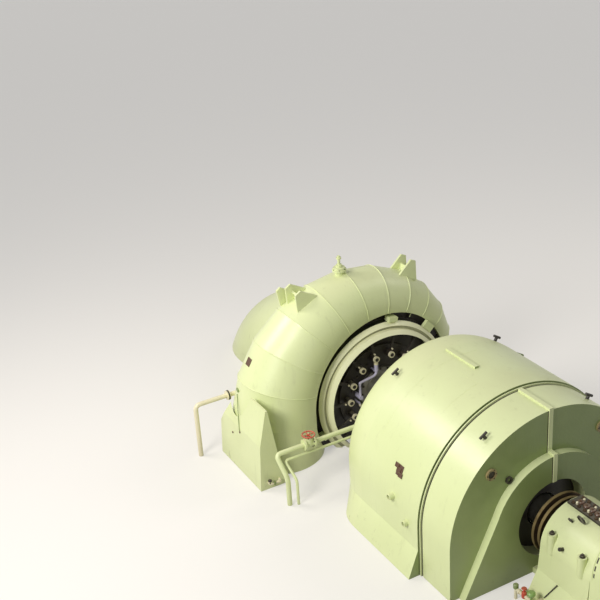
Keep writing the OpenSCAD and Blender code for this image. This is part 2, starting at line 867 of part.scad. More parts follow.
module lifting_hooks() {
    color(iron) for (a = hook_a) {
        outside(round_r(hook_x + hook_post_r) - round_sag) hook(a, hook_x, housing_r - hook_sunk);
        outside(shield_r) hook(a, shield_hook_x, shield_r - hook_sunk);
    }
    color(iron) at_angle(eye_a) translate([shield_end_x, 0, shaft_h + plate_r + eye_gap + eye_r])
        rotate([0, 90, 0]) difference() {
            cylinder(h = eye_t, r = eye_r, $fn = 32);
            translate([0, 0, -1]) cylinder(h = eye_t + 2, r = eye_r - eye_wall, $fn = 32);
        }
}

// Oval drain fittings on the near wall: one on the round, one lower on the flat side
round_fitting_x = 344;
round_fitting_up = 175;
round_fitting_r = 44;
flat_fitting_x = 668;
flat_fitting_up = -45;
flat_fitting_r = 40;
fitting_l = 60;
fitting_sunk = 40;
module side_fittings() {
    color(iron) {
        outside(housing_r) translate([round_fitting_x, fitting_sunk - housing_r, shaft_h + round_fitting_up])
            rotate([90, 0, 0]) cylinder(h = fitting_l + fitting_sunk, r = round_fitting_r, $fn = 32);
        translate([flat_fitting_x, -housing_r, shaft_h + flat_fitting_up])
            rotate([90, 0, 0]) cylinder(h = fitting_l, r = flat_fitting_r, $fn = 32);
    }
}

plate_a = 159;
plate_x = 331;
plate_l = 120;
plate_w = 150;
plate_up = 8;
module nameplates() {
    color(bronze) outside(housing_r) at_angle(plate_a)
        translate([plate_x, -plate_w / 2, shaft_h + housing_r - plate_up])
            cube([plate_l, plate_w, 2 * plate_up]);
}

// Labyrinth disc at the bottom of the hub opening
module hub_disc() {
    color(iron) ring_x(plate_end_x - hub_d, hub_disc_t, hub_r, shaft_r + shaft_gap);
}

// Rotor

shaft_x0 = stay_back_x + 120;
neck_gap = 40;
neck_x = bearing_x - neck_gap;
tail_x = guard_x - neck_gap;
tail_r = 120;
shaft_end_inset = 100;
shaft_end_x = end_face_x - shaft_end_inset;
module main_shaft() {
    color(steel) round_shaft() polygon([
        [0, shaft_x0], [journal_r, shaft_x0], [journal_r, coupling_x], [shaft_r, coupling_x],
        [shaft_r, neck_x], [journal_r, neck_x], [journal_r, tail_x],
        [tail_r, tail_x], [tail_r, shaft_end_x], [0, shaft_end_x]]);
}

module turbine_coupling() {
    color(steel) ring_x(coupling_x - coupling_t, coupling_t, coupling_r, journal_r);
}

module generator_coupling() {
    color(steel) ring_x(coupling_x, coupling_t, coupling_r, shaft_r);
}

// Bronze-brown oil thrower rings on the shaft between end shield and bearing
thrower_t = 34;
thrower_r = 430;
thrower_drop = 25;
thrower_pitch = 80;
thrower_dx = 110;
module shaft_rings() {
    color(bronze) for (i = [0 : 2])
        ring_x(plate_end_x + thrower_dx + i * thrower_pitch, thrower_t,
            thrower_r - i * thrower_drop, shaft_r);
}

// Outboard bearing

pedestal_foot = cap_r + pedestal_out;
bed_w = pedestal_foot + bed_out;
bed_neck_w = 300;
bed_x = bearing_x - bed_out;
module bedplate() {
    color(paint) {
        translate([bed_x, -bed_w, 0]) cube([guard_x - bed_x, 2 * bed_w, bed_t]);
        translate([plate_end_x, -bed_neck_w, 0]) cube([bed_x - plate_end_x, 2 * bed_neck_w, bed_t]);
    }
}

// The pedestal goes on straight down from the cap, then widens to its foot
bearing_bore = journal_r + running_gap;
pedestal_lean = 30;
pedestal_waist_h = 400;
pedestal_foot_h = 60;
module bearing_pedestal() {
    waist = cap_r + pedestal_lean;
    color(paint) difference() {
        along_x(bearing_x, bearing_l) polygon([[-pedestal_foot, bed_t], [pedestal_foot, bed_t],
            [pedestal_foot, bed_t + pedestal_foot_h], [waist, pedestal_waist_h], [cap_r, shaft_h],
            [-cap_r, shaft_h], [-waist, pedestal_waist_h], [-pedestal_foot, bed_t + pedestal_foot_h]]);
        ring_x(bearing_x - 1, bearing_l + 2, bearing_bore);
    }
}

// The cap's four stud bosses stand half out of its sides
stud_inset = 30;
stud_up = 275;
module bearing_cap() {
    color(paint) difference() {
        union() {
            ring_x(bearing_x, bearing_l, cap_r);
            for (s = [-1, 1], y = [-1, 1])
                translate([bearing_x + bearing_l / 2 + s * stud_dx, y * (cap_r - stud_inset), shaft_h])
                    cylinder(h = stud_up, r = stud_r, $fn = 32);
        }
        ring_x(bearing_x - 1, bearing_l + 2, bearing_bore);
        translate([-far, -far, -far]) cube([2 * far, 2 * far, far + shaft_h]);
    }
}

// On the cap: a flat strip for the oil ring covers, an eye bolt, a loop handle and a tap
strip_w = 234;
strip_t = 14;
strip_sunk = 40;
strip_inset = 20;
cap_eye_a = 122;
cap_eye_dx = -167;
cap_eye_r = 34;
loop_a = 114;
loop_dx = -42;
loop_r = 62;
loop_wall = 16;
loop_t = 20;
tap_a = 160;
tap_dx = -67;
tap_r = 24;
tap_l = 60;
module upright_ring(a, dx, r) {
    at_angle(a) translate([bearing_x + bearing_l / 2 + dx, loop_t / 2, shaft_h + cap_r + r - loop_wall / 2])
        rotate([90, 0, 0]) difference() {
            cylinder(h = loop_t, r = r, $fn = 32);
            translate([0, 0, -1]) cylinder(h = loop_t + 2, r = r - loop_wall, $fn = 32);
        }
}

module oil_fittings() {
    color(iron) outside(cap_r) {
        translate([bearing_x + strip_inset, -strip_w / 2, shaft_h + cap_r - strip_sunk])
            cube([bearing_l - 2 * strip_inset, strip_w, strip_sunk + strip_t]);
        upright_ring(cap_eye_a, cap_eye_dx, cap_eye_r);
        upright_ring(loop_a, loop_dx, loop_r);
        at_angle(tap_a) translate([bearing_x + bearing_l / 2 + tap_dx, 0, shaft_h + cap_r - tap_r])
            cylinder(h = tap_r + tap_l, r = tap_r, $fn = 24);
    }
}

// Guard: an inverted U with a niche for the shaft end's housing, and a hood over the shaft behind it
niche_round = 0.6;
hood_foot = 30;
module guard() {
    niche_side_h = niche_h - niche_w * niche_round;
    color(paint) difference() {
        union() {
            along_x(guard_x, guard_l) arch(guard_r, guard_r, skirt_h);
            along_x(hood_x, guard_x - hood_x) {
                translate([0, shaft_h + hood_up]) circle(hood_r);
                polygon([[-hood_r - hood_foot, bed_t], [hood_r + hood_foot, bed_t],
                    [hood_r, shaft_h + hood_up], [-hood_r, shaft_h + hood_up]]);
            }
        }
        along_x(guard_end_x - niche_d, niche_d + 1) {
            translate([-niche_w, -1]) square([2 * niche_w, niche_side_h + 1]);
            translate([0, niche_side_h]) scale([1, niche_round]) circle(niche_w);
        }
        ring_x(hood_x - 1, far, journal_r + shaft_gap);
    }
}

end_foot = 30;
module end_housing() {
    back_x = guard_end_x - niche_d;
    color(paint_dark) difference() {
        along_x(back_x, end_face_x - back_x) arch(end_r, end_r + end_foot, skirt_h);
        ring_x(back_x - 1, shaft_end_x + shaft_gap - back_x + 1, tail_r + shaft_gap);
    }
}

// Pipework beside the foot

valve_half_l = 90;
module cooling_pipe() {
    leg_x = pipe_x + pipe_foot_dx;
    color(paint) {
        pipe_run([[leg_x, pipe_foot_y, 0], [leg_x, pipe_foot_y, pipe_foot_h], [pipe_x, pipe_side_y, pipe_h],
            [pipe_x, valve_y - valve_half_l, pipe_h]], pipe_r, pipe_knee_l);
        pipe_run([[pipe_x, valve_y + valve_half_l, pipe_h], [pipe_x, pipe_in_y, pipe_h],
            [turbine_face_x, pipe_in_y, pipe_h]], pipe_r, pipe_knee_l);
    }
}

thin_dx = 20;
thin_knee_l = 60;
module drain_pipe() {
    leg_x = pipe_x + thin_foot_dx;
    side_x = pipe_x + thin_dx;
    h = pipe_h - thin_drop;
    color(paint_dark)
        pipe_run([[leg_x, thin_foot_y, 0], [leg_x, thin_foot_y, thin_foot_h], [side_x, thin_side_y, h],
            [side_x, thin_in_y, h], [turbine_face_x, thin_in_y, h]], thin_pipe_r, thin_knee_l);
}

// Pressure pipe from the case's near side down to the floor
stub_in_off = 290;
stub_in_y = -middle_r(180) - stub_in_off;
stub_y = -middle_r(180) - stub_off;
stub_flange_y = -middle_r(180) - stub_flange_off;
stub_knee_l = 90;
stub_flange_r = 74;
stub_flange_t = 50;
module water_stub() {
    color(paint) difference() {
        union() {
            pipe_run([[stub_x, stub_in_y, stub_h], [stub_x, stub_y, stub_h], [stub_x, stub_y, 0]],
                pipe_r, stub_knee_l);
            translate([stub_x, stub_flange_y, stub_h]) rotate([90, 0, 0])
                cylinder(h = stub_flange_t, r = stub_flange_r, $fn = 48);
        }
        case_skin();
        inlet_skin();
    }
}

// Gate valve with its bonnet and spindle, and the handwheel that turns on the spindle
valve_wall = 16;
valve_flange_r = 84;
valve_flange_t = 28;
bonnet_r = 58;
bonnet_h = 96;
wheel_up = 130;
wheel_h = pipe_h + wheel_up;
wheel_stem_r = 9;
wheel_gap = 0.05;
wheel_rim_r = 10;
wheel_spoke_r = 7;
wheel_hub_r = 24;
wheel_hub_l = 30;
stem_end = 12;
module valve_body() {
    color(paint) translate([pipe_x, valve_y, pipe_h]) {
        translate([0, valve_half_l, 0]) rotate([90, 0, 0])
            cylinder(h = 2 * valve_half_l, r = pipe_r + valve_wall, $fn = 48);
        for (y = [-valve_half_l, valve_half_l - valve_flange_t])
            translate([0, y, 0]) rotate([-90, 0, 0])
                cylinder(h = valve_flange_t, r = valve_flange_r, $fn = 48);
        cylinder(h = bonnet_h, r = bonnet_r, $fn = 48);
        cylinder(h = wheel_up + wheel_hub_l + stem_end, r = wheel_stem_r, $fn = 32);
    }
}

module handwheel() {
    color([0.75, 0.18, 0.14]) translate([pipe_x, valve_y, wheel_h]) difference() {
        union() {
            cylinder(h = wheel_hub_l, r = wheel_hub_r, $fn = 32);
            translate([0, 0, wheel_hub_l / 2]) {
                rotate_extrude($fn = 64) translate([wheel_r - wheel_rim_r, 0]) circle(wheel_rim_r, $fn = 24);
                for (a = [0 : 90 : 270]) rotate([0, 90, a])
                    cylinder(h = wheel_r - wheel_rim_r, r = wheel_spoke_r, $fn = 24);
            }
        }
        translate([0, 0, -1]) cylinder(h = wheel_hub_l + 2, r = wheel_stem_r + wheel_gap, $fn = 32);
    }
}

spiral_case();
inlet_leg();
foot_plates();
foot_base();
stay_ring();
head_cover();
vane_stems();
vane_levers();
regulating_ring();
ring_lugs();
governor_rod();
seal_housing();
seal_pipes();
draft_cone();
draft_elbow();
lug_front();
lug_back();
lug_far();
air_valve();
stator_housing();
turbine_end();
turbine_bearing();
joint_band();
shield_near();
shield_far();
shield_bars();
plate_near();
plate_far();
port_rings();
lifting_hooks();
side_fittings();
nameplates();
hub_disc();
main_shaft();
turbine_coupling();
generator_coupling();
shaft_rings();
bedplate();
bearing_pedestal();
bearing_cap();
oil_fittings();
guard();
end_housing();
cooling_pipe();
drain_pipe();
water_stub();
valve_body();
handwheel();
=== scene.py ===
# %% [markdown]
# A horizontal hydroelectric set, dressed for its picture.
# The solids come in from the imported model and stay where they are. Everything below gives them
# paint, oil and iron, and adds what is too small for the solids: weld beads, bolts, washers.

# %% Load the machine
import json

import bmesh
import bpy
import numpy as np
from mathutils import Matrix, Vector


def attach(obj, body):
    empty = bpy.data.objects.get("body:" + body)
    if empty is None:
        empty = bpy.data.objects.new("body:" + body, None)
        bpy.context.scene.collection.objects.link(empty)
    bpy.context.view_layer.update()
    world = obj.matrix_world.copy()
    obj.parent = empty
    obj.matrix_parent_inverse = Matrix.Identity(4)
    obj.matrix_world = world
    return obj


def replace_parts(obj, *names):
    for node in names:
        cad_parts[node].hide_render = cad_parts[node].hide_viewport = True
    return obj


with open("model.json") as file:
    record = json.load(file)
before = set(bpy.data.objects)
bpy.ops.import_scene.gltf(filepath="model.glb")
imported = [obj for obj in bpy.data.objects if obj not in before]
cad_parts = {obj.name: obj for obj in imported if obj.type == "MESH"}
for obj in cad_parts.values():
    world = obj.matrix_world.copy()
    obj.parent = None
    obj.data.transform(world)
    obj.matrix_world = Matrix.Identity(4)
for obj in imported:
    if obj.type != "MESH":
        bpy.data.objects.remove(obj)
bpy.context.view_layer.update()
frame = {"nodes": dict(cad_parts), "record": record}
nodes = frame["nodes"]
scene = bpy.context.scene
# The shaft lies level, and these are the ways a piece can face: along it, back, to the gallery, up
SHAFT_Z = 0.725
ALONG, BACK, NEAR, UP = (1.0, 0.0, 0.0), (-1.0, 0.0, 0.0), (0.0, -1.0, 0.0), (0.0, 0.0, 1.0)
print("pieces of the machine:", len(nodes))

# %% [markdown]
# The camera stands on a gallery above the near side. Its place was worked out from the round edges
# of the housing: each is a circle in space and an ellipse in the picture. The turn is written as
# compass angle, tilt and roll, because those are easier to think about than a matrix.

# %% Camera
CAMERA_AT = np.array([10.463, -7.902, 9.391])
CAMERA_TURN, CAMERA_TILT, CAMERA_ROLL = np.radians([62.637, 25.283, -4.103])
FOCUS_PIXELS = 1122.59
PICTURE_PIXELS = 600.0
SENSOR = 36.0


def aim(turn, tilt, roll):
    """Camera axes as columns: right is level, ahead dips by tilt, and both lean over by roll."""
    ahead = np.array([-np.sin(turn) * np.cos(tilt), np.cos(turn) * np.cos(tilt), -np.sin(tilt)])
    level = np.array([np.cos(turn), np.sin(turn), 0.0])
    above = np.cross(level, ahead)
    right = np.cos(roll) * level + np.sin(roll) * above
    up = np.cos(roll) * above - np.sin(roll) * level
    return np.column_stack([right, up, -ahead])


lens = bpy.data.cameras.new("gallery_camera")
lens.sensor_width = SENSOR
lens.lens = FOCUS_PIXELS / PICTURE_PIXELS * SENSOR
lens.clip_end = 200.0
camera = bpy.data.objects.new("gallery_camera", lens)
scene.collection.objects.link(camera)
camera.matrix_world = Matrix.Translation(Vector(CAMERA_AT)) @ Matrix(
    aim(CAMERA_TURN, CAMERA_TILT, CAMERA_ROLL).tolist()
).to_4x4()
scene.camera = camera
print("lens in mm:", round(lens.lens, 2))

# %% [markdown]
# One wide lamp on the near side lights the near walls and the case, and leaves the faces that look
# along the shaft in shade. A warm one stands nearer to the case, and two weak ones open the shade.

# %% Lamps
scene.view_settings.view_transform = "Standard"


def lamp(name, place, target, size, watts, colour):
    """A square lamp that looks from place to target."""
    data = bpy.data.lights.new(name, "AREA")
    data.shape = "SQUARE"
    data.size = size
    data.energy = watts
    data.color = colour
    obj = bpy.data.objects.new(name, data)
    scene.collection.objects.link(obj)
    obj.location = place
    obj.rotation_euler = (Vector(target) - Vector(place)).to_track_quat("-Z", "Y").to_euler()


lamp("window_light", (1.9, -11.5, 9.0), (-0.4, 0.0, 0.9), 4.5, 1250.0, (1.0, 0.985, 0.95))
lamp("case_light", (-5.6, -6.0, 7.6), (-2.7, -0.9, 1.4), 3.0, 330.0, (1.0, 0.95, 0.88))
lamp("far_light", (-0.5, 9.0, 10.0), (-2.2, 0.5, 1.8), 5.0, 330.0, (1.0, 0.95, 0.86))
lamp("end_light", (12.0, -3.0, 5.0), (1.5, 0.0, 1.0), 6.0, 60.0, (0.96, 0.98, 1.0))
print("lamps:", len(bpy.data.lights))

# %% [markdown]
# Shaders are built from nodes. The helpers add one with its settings and feed each input with a
# number, a colour or another node's socket.


# %% Helpers for shaders
def add(tree, kind, inputs=None, **settings):
    """A new node; its inputs go by name or place, and take a number, a colour or a socket."""
    node = tree.nodes.new(kind)
    for key, value in settings.items():
        setattr(node, key, value)
    for label, value in (inputs or {}).items():
        if isinstance(value, (int, float, tuple)):
            node.inputs[label].default_value = value
        else:
            tree.links.new(value, node.inputs[label])
    return node


def math_node(tree, operation, a, b=0.0, clamp=False):
    """A Math node on two sockets or numbers; gives its output socket."""
    return add(tree, "ShaderNodeMath", {0: a, 1: b}, operation=operation, use_clamp=clamp).outputs[0]


def mix_colour(tree, factor, a, b):
    """A Mix node has its factor in input 0 and its colours in 6 and 7, and gives output 2."""
    return add(tree, "ShaderNodeMix", {0: factor, 6: a, 7: b}, data_type="RGBA").outputs[2]


def noise(tree, coordinate, scale, detail=3.0, rough=0.5):
    """Noise on given coordinates; gives its value socket."""
    inputs = {"Vector": coordinate, "Scale": scale, "Detail": detail, "Roughness": rough}
    return add(tree, "ShaderNodeTexNoise", inputs).outputs[0]


def ramp(tree, value, low, high):
    """Spreads the stretch from low to high over 0 to 1."""
    inputs = {"Value": value, "From Min": low, "From Max": high}
    return add(tree, "ShaderNodeMapRange", inputs, interpolation_type="SMOOTHSTEP").outputs[0]


def bumpy(tree, height, strength, distance):
    """Roughens the surface of a material's shader by a height socket."""
    bump = add(tree, "ShaderNodeBump", {"Height": height, "Strength": strength, "Distance": distance})
    tree.links.new(bump.outputs[0], tree.nodes["Principled BSDF"].inputs["Normal"])


def new_material(name):
    """A material, with its node tree and its Principled shader."""
    material = bpy.data.materials.new(name)
    material.use_nodes = True
    return material, material.node_tree, material.node_tree.nodes["Principled BSDF"]


print("shader helpers are ready")

# %% [markdown]
# The backdrop is pale, but it mustn't flood the machine with light. So the world and the floor glow
# only for rays that see them directly. For all others the world is dim and the floor is concrete.


# %% The hall's air and the floor
def shine(tree, kind, colour, strength):
    """A Background or an Emission; gives its shader socket."""
    return add(tree, kind, {"Color": (*colour, 1.0), "Strength": strength}).outputs[0]


def by_ray(tree, plain, seen, target):
    """Sends seen to the target for rays from the camera, a mirror or glass, and plain for others."""
    path = add(tree, "ShaderNodeLightPath").outputs
    mirrored = math_node(tree, "MAXIMUM", path["Is Camera Ray"], path["Is Glossy Ray"])
    direct = math_node(tree, "MAXIMUM", mirrored, path["Is Transmission Ray"])
    tree.links.new(add(tree, "ShaderNodeMixShader", {0: direct, 1: plain, 2: seen}).outputs[0], target)


world = bpy.data.worlds.new("hall_air")
scene.world = world
world.use_nodes = True
w_tree = world.node_tree
w_tree.nodes.clear()
dim = shine(w_tree, "ShaderNodeBackground", (0.95, 0.97, 1.0), 0.21)
white = shine(w_tree, "ShaderNodeBackground", (1.0, 1.0, 0.99), 0.80)
by_ray(w_tree, dim, white, add(w_tree, "ShaderNodeOutputWorld").inputs["Surface"])

bpy.ops.mesh.primitive_plane_add(size=400.0, location=(0.0, 0.0, -0.002))
floor = bpy.context.object
floor.name = "pale_floor"
floor_paint, f_tree, concrete = new_material("pale_floor")
concrete.inputs["Base Color"].default_value = (0.46, 0.44, 0.41, 1.0)
concrete.inputs["Roughness"].default_value = 0.8
glow = shine(f_tree, "ShaderNodeEmission", (1.0, 0.98, 0.95), 0.42)
glowing = add(f_tree, "ShaderNodeAddShader", {0: concrete.outputs[0], 1: glow}).outputs[0]
by_ray(f_tree, concrete.outputs[0], glowing, f_tree.nodes["Material Output"].inputs["Surface"])
floor.data.materials.append(floor_paint)
print("floor:", floor.name)

# %% [markdown]
# Shop paint isn't one flat colour. It was rolled on, so it varies slowly over a metre. Water leaves
# faint upright streaks, dust settles where a surface looks up, and mops and boots darken the foot.
# Walls that look along the shaft turn a deeper green, which is painted shade. All of that is one
# node group, so each paint below only gives its own colours.

# %% The shared paint effect
SOCKETS = (
    ("INPUT", "NodeSocketColor", ("Paint", "Shade", "Grime", "Wall")),
    ("INPUT", "NodeSocketFloat", ("Grime Amount", "Wall Amount", "Roughness")),
    ("OUTPUT", "NodeSocketColor", ("Colour",)),
    ("OUTPUT", "NodeSocketFloat", ("Roughness", "Height")),
)
shop_paint = bpy.data.node_groups.new("shop_paint", "ShaderNodeTree")
for way, kind, labels in SOCKETS:
    for label in labels:
        shop_paint.interface.new_socket(name=label, in_out=way, socket_type=kind)
g_in = add(shop_paint, "NodeGroupInput").outputs
g_out = add(shop_paint, "NodeGroupOutput").inputs
g_coord = add(shop_paint, "ShaderNodeTexCoord").outputs["Object"]
g_place = add(shop_paint, "ShaderNodeSeparateXYZ", {0: g_coord}).outputs
g_normal = add(shop_paint, "ShaderNodeNewGeometry").outputs["Normal"]
g_facing = add(shop_paint, "ShaderNodeSeparateXYZ", {0: g_normal}).outputs
slow = ramp(shop_paint, noise(shop_paint, g_coord, 0.9), 0.35, 0.68)
fine = noise(shop_paint, g_coord, 26.0, 4.0)
print("the group's sockets:", len(shop_paint.interface.items_tree))

# %% [markdown]
# All its marks are noise, cut off by a ramp. Streaks are noise stretched along Z, so they run down a
# wall. Dirt gathers in the lowest 0.42 m. Dust needs a surface that looks up, and the painted wall
# shade one that looks along the shaft.


# %% Streaks, foot grime, dust and the painted wall shade
def times(a, b, clamp=False):
    """A product inside the paint group."""
    return math_node(shop_paint, "MULTIPLY", a, b, clamp)


def plus(a, b, clamp=False):
    """A sum inside the paint group."""
    return math_node(shop_paint, "ADD", a, b, clamp)


streak_map = add(shop_paint, "ShaderNodeMapping", {"Vector": g_coord, "Scale": (7.0, 7.0, 0.7)})
streak = ramp(shop_paint, noise(shop_paint, streak_map.outputs[0], 1.6, 5.0, 0.6), 0.56, 0.80)
low_down = math_node(shop_paint, "SUBTRACT", 1.0, ramp(shop_paint, g_place[2], 0.0, 0.42))
speck = ramp(shop_paint, noise(shop_paint, g_coord, 9.0, 6.0, 0.7), 0.58, 0.74)
chips = ramp(shop_paint, noise(shop_paint, g_coord, 31.0, 5.0, 0.65), 0.70, 0.74)
foot_and_wall = plus(times(low_down, plus(speck, 0.22)), times(streak, 0.30))
grime = times(plus(foot_and_wall, times(chips, 0.30), True), g_in["Grime Amount"], True)
toned = mix_colour(shop_paint, times(slow, 0.38), g_in["Paint"], g_in["Shade"])
looks_up = ramp(shop_paint, g_facing[2], 0.55, 1.0)
dust = times(times(looks_up, plus(slow, 0.25)), 0.20)
dusty = mix_colour(shop_paint, dust, toned, (0.62, 0.56, 0.40, 1.0))
# Painted shade: faces that look along the shaft are mixed towards the Wall colour.
shaded_along_shaft = ramp(shop_paint, g_facing[0], 0.55, 0.93)
patchy = math_node(shop_paint, "SUBTRACT", 1.0, times(slow, 0.22))
wall_shaded = mix_colour(
    shop_paint, times(times(shaded_along_shaft, patchy), g_in["Wall Amount"]), dusty, g_in["Wall"]
)
shop_paint.links.new(mix_colour(shop_paint, grime, wall_shaded, g_in["Grime"]), g_out["Colour"])
rougher = plus(times(plus(grime, times(slow, 0.2)), 0.4), dust)
shop_paint.links.new(plus(g_in["Roughness"], rougher, True), g_out["Roughness"])
shop_paint.links.new(plus(times(fine, 0.4), times(slow, 0.6)), g_out["Height"])
print("nodes in the paint effect:", len(shop_paint.nodes))

# %% [markdown]
# Each paint is one material: the group gives colour, roughness and a fine roller texture, and the
# Principled shader with a thin coat gives the enamel's gloss.


# %% Paints
def srgb(red, green, blue):
    """Screen colour numbers from 0 to 1 turned into the shader's linear light."""
    value = np.array([red, green, blue])
    linear = np.where(value <= 0.04045, value / 12.92, ((value + 0.055) / 1.055) ** 2.4)
    return (*linear.tolist(), 1.0)


SOIL, IRON_SOIL = (0.36, 0.33, 0.21), (0.30, 0.26, 0.18)


def enamel(name, paint, shade, grime=0.5, rough=0.34, coat=0.2, soil=SOIL, wall=None, depth=0.0):
    """A painted finish from the shared group; wall is the colour of painted shade where it looks along the
    shaft.
    """
    material, tree, shader = new_material(name)
    colours = {"Paint": paint, "Shade": shade, "Grime": soil, "Wall": wall or shade}
    inputs = {label: srgb(*colour) for label, colour in colours.items()}
    inputs |= {"Grime Amount": grime, "Wall Amount": depth, "Roughness": rough}
    group = add(tree, "ShaderNodeGroup", inputs, node_tree=shop_paint)
    tree.links.new(group.outputs["Colour"], shader.inputs["Base Color"])
    tree.links.new(group.outputs["Roughness"], shader.inputs["Roughness"])
    bumpy(tree, group.outputs["Height"], 0.3, 0.015)
    shader.inputs["Coat Weight"].default_value = coat
    shader.inputs["Coat Roughness"].default_value = 0.22
    return material


DEEP = (0.50, 0.57, 0.33)
pale_green = enamel("pale_green_enamel", (0.870, 0.900, 0.690), (0.815, 0.855, 0.625), 0.40)
# The end walls' enamel paints shade in DEEP green on faces that look along the shaft.
shaded_end_green = enamel(
    "end_wall_shaded_enamel", (0.860, 0.895, 0.680), (0.810, 0.850, 0.620), 0.40, wall=DEEP, depth=0.92
)
deep_green = enamel("deep_green_enamel", DEEP, (0.42, 0.50, 0.29), 0.45)
cream = enamel("cream_pipe_paint", (0.92, 0.89, 0.76), (0.86, 0.82, 0.68), 0.45)
lilac = enamel("lilac_grey_paint", (0.80, 0.78, 0.88), (0.68, 0.66, 0.77), 0.3)
red = enamel("red_wheel_enamel", (0.78, 0.25, 0.14), (0.64, 0.17, 0.10), 0.3)
black = enamel("black_brown_casting", (0.16, 0.135, 0.11), (0.11, 0.095, 0.085), 0.5, 0.5, 0.1, IRON_SOIL)
brown_plate = enamel("brown_plate", (0.36, 0.24, 0.17), (0.29, 0.18, 0.13), 0.4)
tan = enamel("tan_ring_paint", (0.62, 0.55, 0.38), (0.50, 0.43, 0.29), 0.3)
knob_green = enamel("knob_green", (0.52, 0.66, 0.34), (0.44, 0.58, 0.28), 0.3)
print("paints:", len(bpy.data.materials) - 1)

# %% [markdown]
# Bare steel and bronze turn with the shaft, so their marks are fine rings round its line.
# The marks come from noise that is squeezed flat across the shaft and so runs round it.


# %% Turned metal
def turned_metal(name, colour, dark, roughness, scale=420.0, metal=0.9):
    """Metal with fine turning marks in planes square to the shaft, and oil stains."""
    material, tree, shader = new_material(name)
    coordinate = add(tree, "ShaderNodeTexCoord").outputs["Object"]
    squeeze = add(tree, "ShaderNodeMapping", {"Vector": coordinate, "Scale": (1.0, 0.02, 0.02)})
    marks = noise(tree, squeeze.outputs[0], scale, 2.0)
    stain = ramp(tree, noise(tree, coordinate, 5.0, 5.0, 0.6), 0.45, 0.75)
    tree.links.new(mix_colour(tree, stain, srgb(*colour), srgb(*dark)), shader.inputs["Base Color"])
    rough = math_node(tree, "ADD", math_node(tree, "MULTIPLY", marks, 0.15), roughness)
    tree.links.new(rough, shader.inputs["Roughness"])
    bumpy(tree, marks, 0.25, 0.002)
    shader.inputs["Metallic"].default_value = metal
    return material


steel = turned_metal("oiled_steel", (0.66, 0.65, 0.62), (0.42, 0.38, 0.31), 0.28)
bronze = turned_metal("dull_bronze", (0.36, 0.29, 0.21), (0.17, 0.13, 0.10), 0.48, metal=0.5)
bolt_steel = turned_metal("dark_bolt_steel", (0.34, 0.32, 0.28), (0.20, 0.17, 0.13), 0.42, 90.0, 0.75)
brass = turned_metal("worn_brass", (0.56, 0.49, 0.34), (0.36, 0.29, 0.18), 0.42, 90.0, 0.7)

FINISH = {
    "paint_pale_green": pale_green,
    "paint_deep_green": deep_green,
    "black_iron": black,
    "bright_steel": steel,
    "bronze": bronze,
    "brown_plate": brown_plate,
    "grey_pipe": lilac,
    "cream_pipe": cream,
    "red_wheel": red,
}
# These parts take the enamel with painted shade on faces that look along the shaft.
END_WALLS = ("shield_near", "shield_far", "plate_near", "plate_far", "stator_housing", "bedplate", "guard")
for part in frame["record"]["subparts"]:
    mesh = nodes[part["node"]].data
    mesh.materials.clear()
    mesh.materials.append(shaded_end_green if part["node"] in END_WALLS else FINISH[part["material_slot"]])
nodes["port_rings"].data.materials[0] = tan

# %% [markdown]
# The regulating ring's paint is a paler copy of the case's, a painted highlight. Its back edge and its
# groove are darkened as painted shade. Both are places, not shapes, so the finish works them out from
# the object's own coordinates.

# %% The regulating ring's finish
RING_BACK_X, GROOVE_IN, GROOVE_OUT, GROOVE_SHADE = -2.264, 1.030, 1.075, 0.55
# Painted highlight: the ring's enamel is a paler copy of the case's pale green.
lit_ring_paint = enamel("regulating_ring_paint", (0.93, 0.93, 0.77), (0.88, 0.89, 0.71), 0.3)
r_tree = lit_ring_paint.node_tree
ring_colour = r_tree.nodes["Principled BSDF"].inputs["Base Color"]
place = add(r_tree, "ShaderNodeTexCoord").outputs["Object"]
x, y, z = add(r_tree, "ShaderNodeSeparateXYZ", {0: place}).outputs
high = math_node(r_tree, "SUBTRACT", z, SHAFT_Z)
squares = [math_node(r_tree, "POWER", way, 2.0) for way in (high, y)]
reach = math_node(r_tree, "SQRT", math_node(r_tree, "ADD", *squares))
# Painted shade: dark behind the back edge and in the groove.
behind = math_node(r_tree, "LESS_THAN", x, RING_BACK_X)
past_inner = math_node(r_tree, "GREATER_THAN", reach, GROOVE_IN)
before_outer = math_node(r_tree, "LESS_THAN", reach, GROOVE_OUT)
groove = math_node(r_tree, "MULTIPLY", past_inner, before_outer)
painted_ring_shade = math_node(r_tree, "MAXIMUM", behind, math_node(r_tree, "MULTIPLY", groove, GROOVE_SHADE))
unshaded_paint = ring_colour.links[0].from_socket
r_tree.links.new(mix_colour(r_tree, painted_ring_shade, unshaded_paint, srgb(0.15, 0.16, 0.09)), ring_colour)
nodes["regulating_ring"].data.materials[0] = lit_ring_paint
print("the ring has its own finish")

# %% [markdown]
# From here on come the finer pieces, each a surface worked out with numpy. Points come from a
# formula, and faces from a grid that says which points are neighbours. The helper makes the mesh,
# turns all faces outwards and marks steep edges as sharp, so the rest shades smoothly.

# %% Making a piece
SLOTS = {paint.name: slot for slot, paint in FINISH.items()}
SLOTS |= {bolt_steel.name: "black_iron", brass.name: "bronze", knob_green.name: "paint_deep_green"}


def make(name, points, faces, finish, body="set", crease=35.0):
    """A closed piece from points and faces, riding on a body, in a finish."""
    mesh = bpy.data.meshes.new(name)
    mesh.from_pydata(np.asarray(points, float).reshape(-1, 3).tolist(), [], faces)
    shell = bmesh.new()
    shell.from_mesh(mesh)
    bmesh.ops.remove_doubles(shell, verts=shell.verts, dist=1e-5)
    bmesh.ops.recalc_face_normals(shell, faces=shell.faces)
    shell.to_mesh(mesh)
    shell.free()
    mesh.materials.append(finish)
    mesh.shade_smooth()
    mesh.set_sharp_from_angle(angle=np.radians(crease))
    piece = bpy.data.objects.new(name, mesh)
    scene.collection.objects.link(piece)
    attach(piece, body)
    return piece


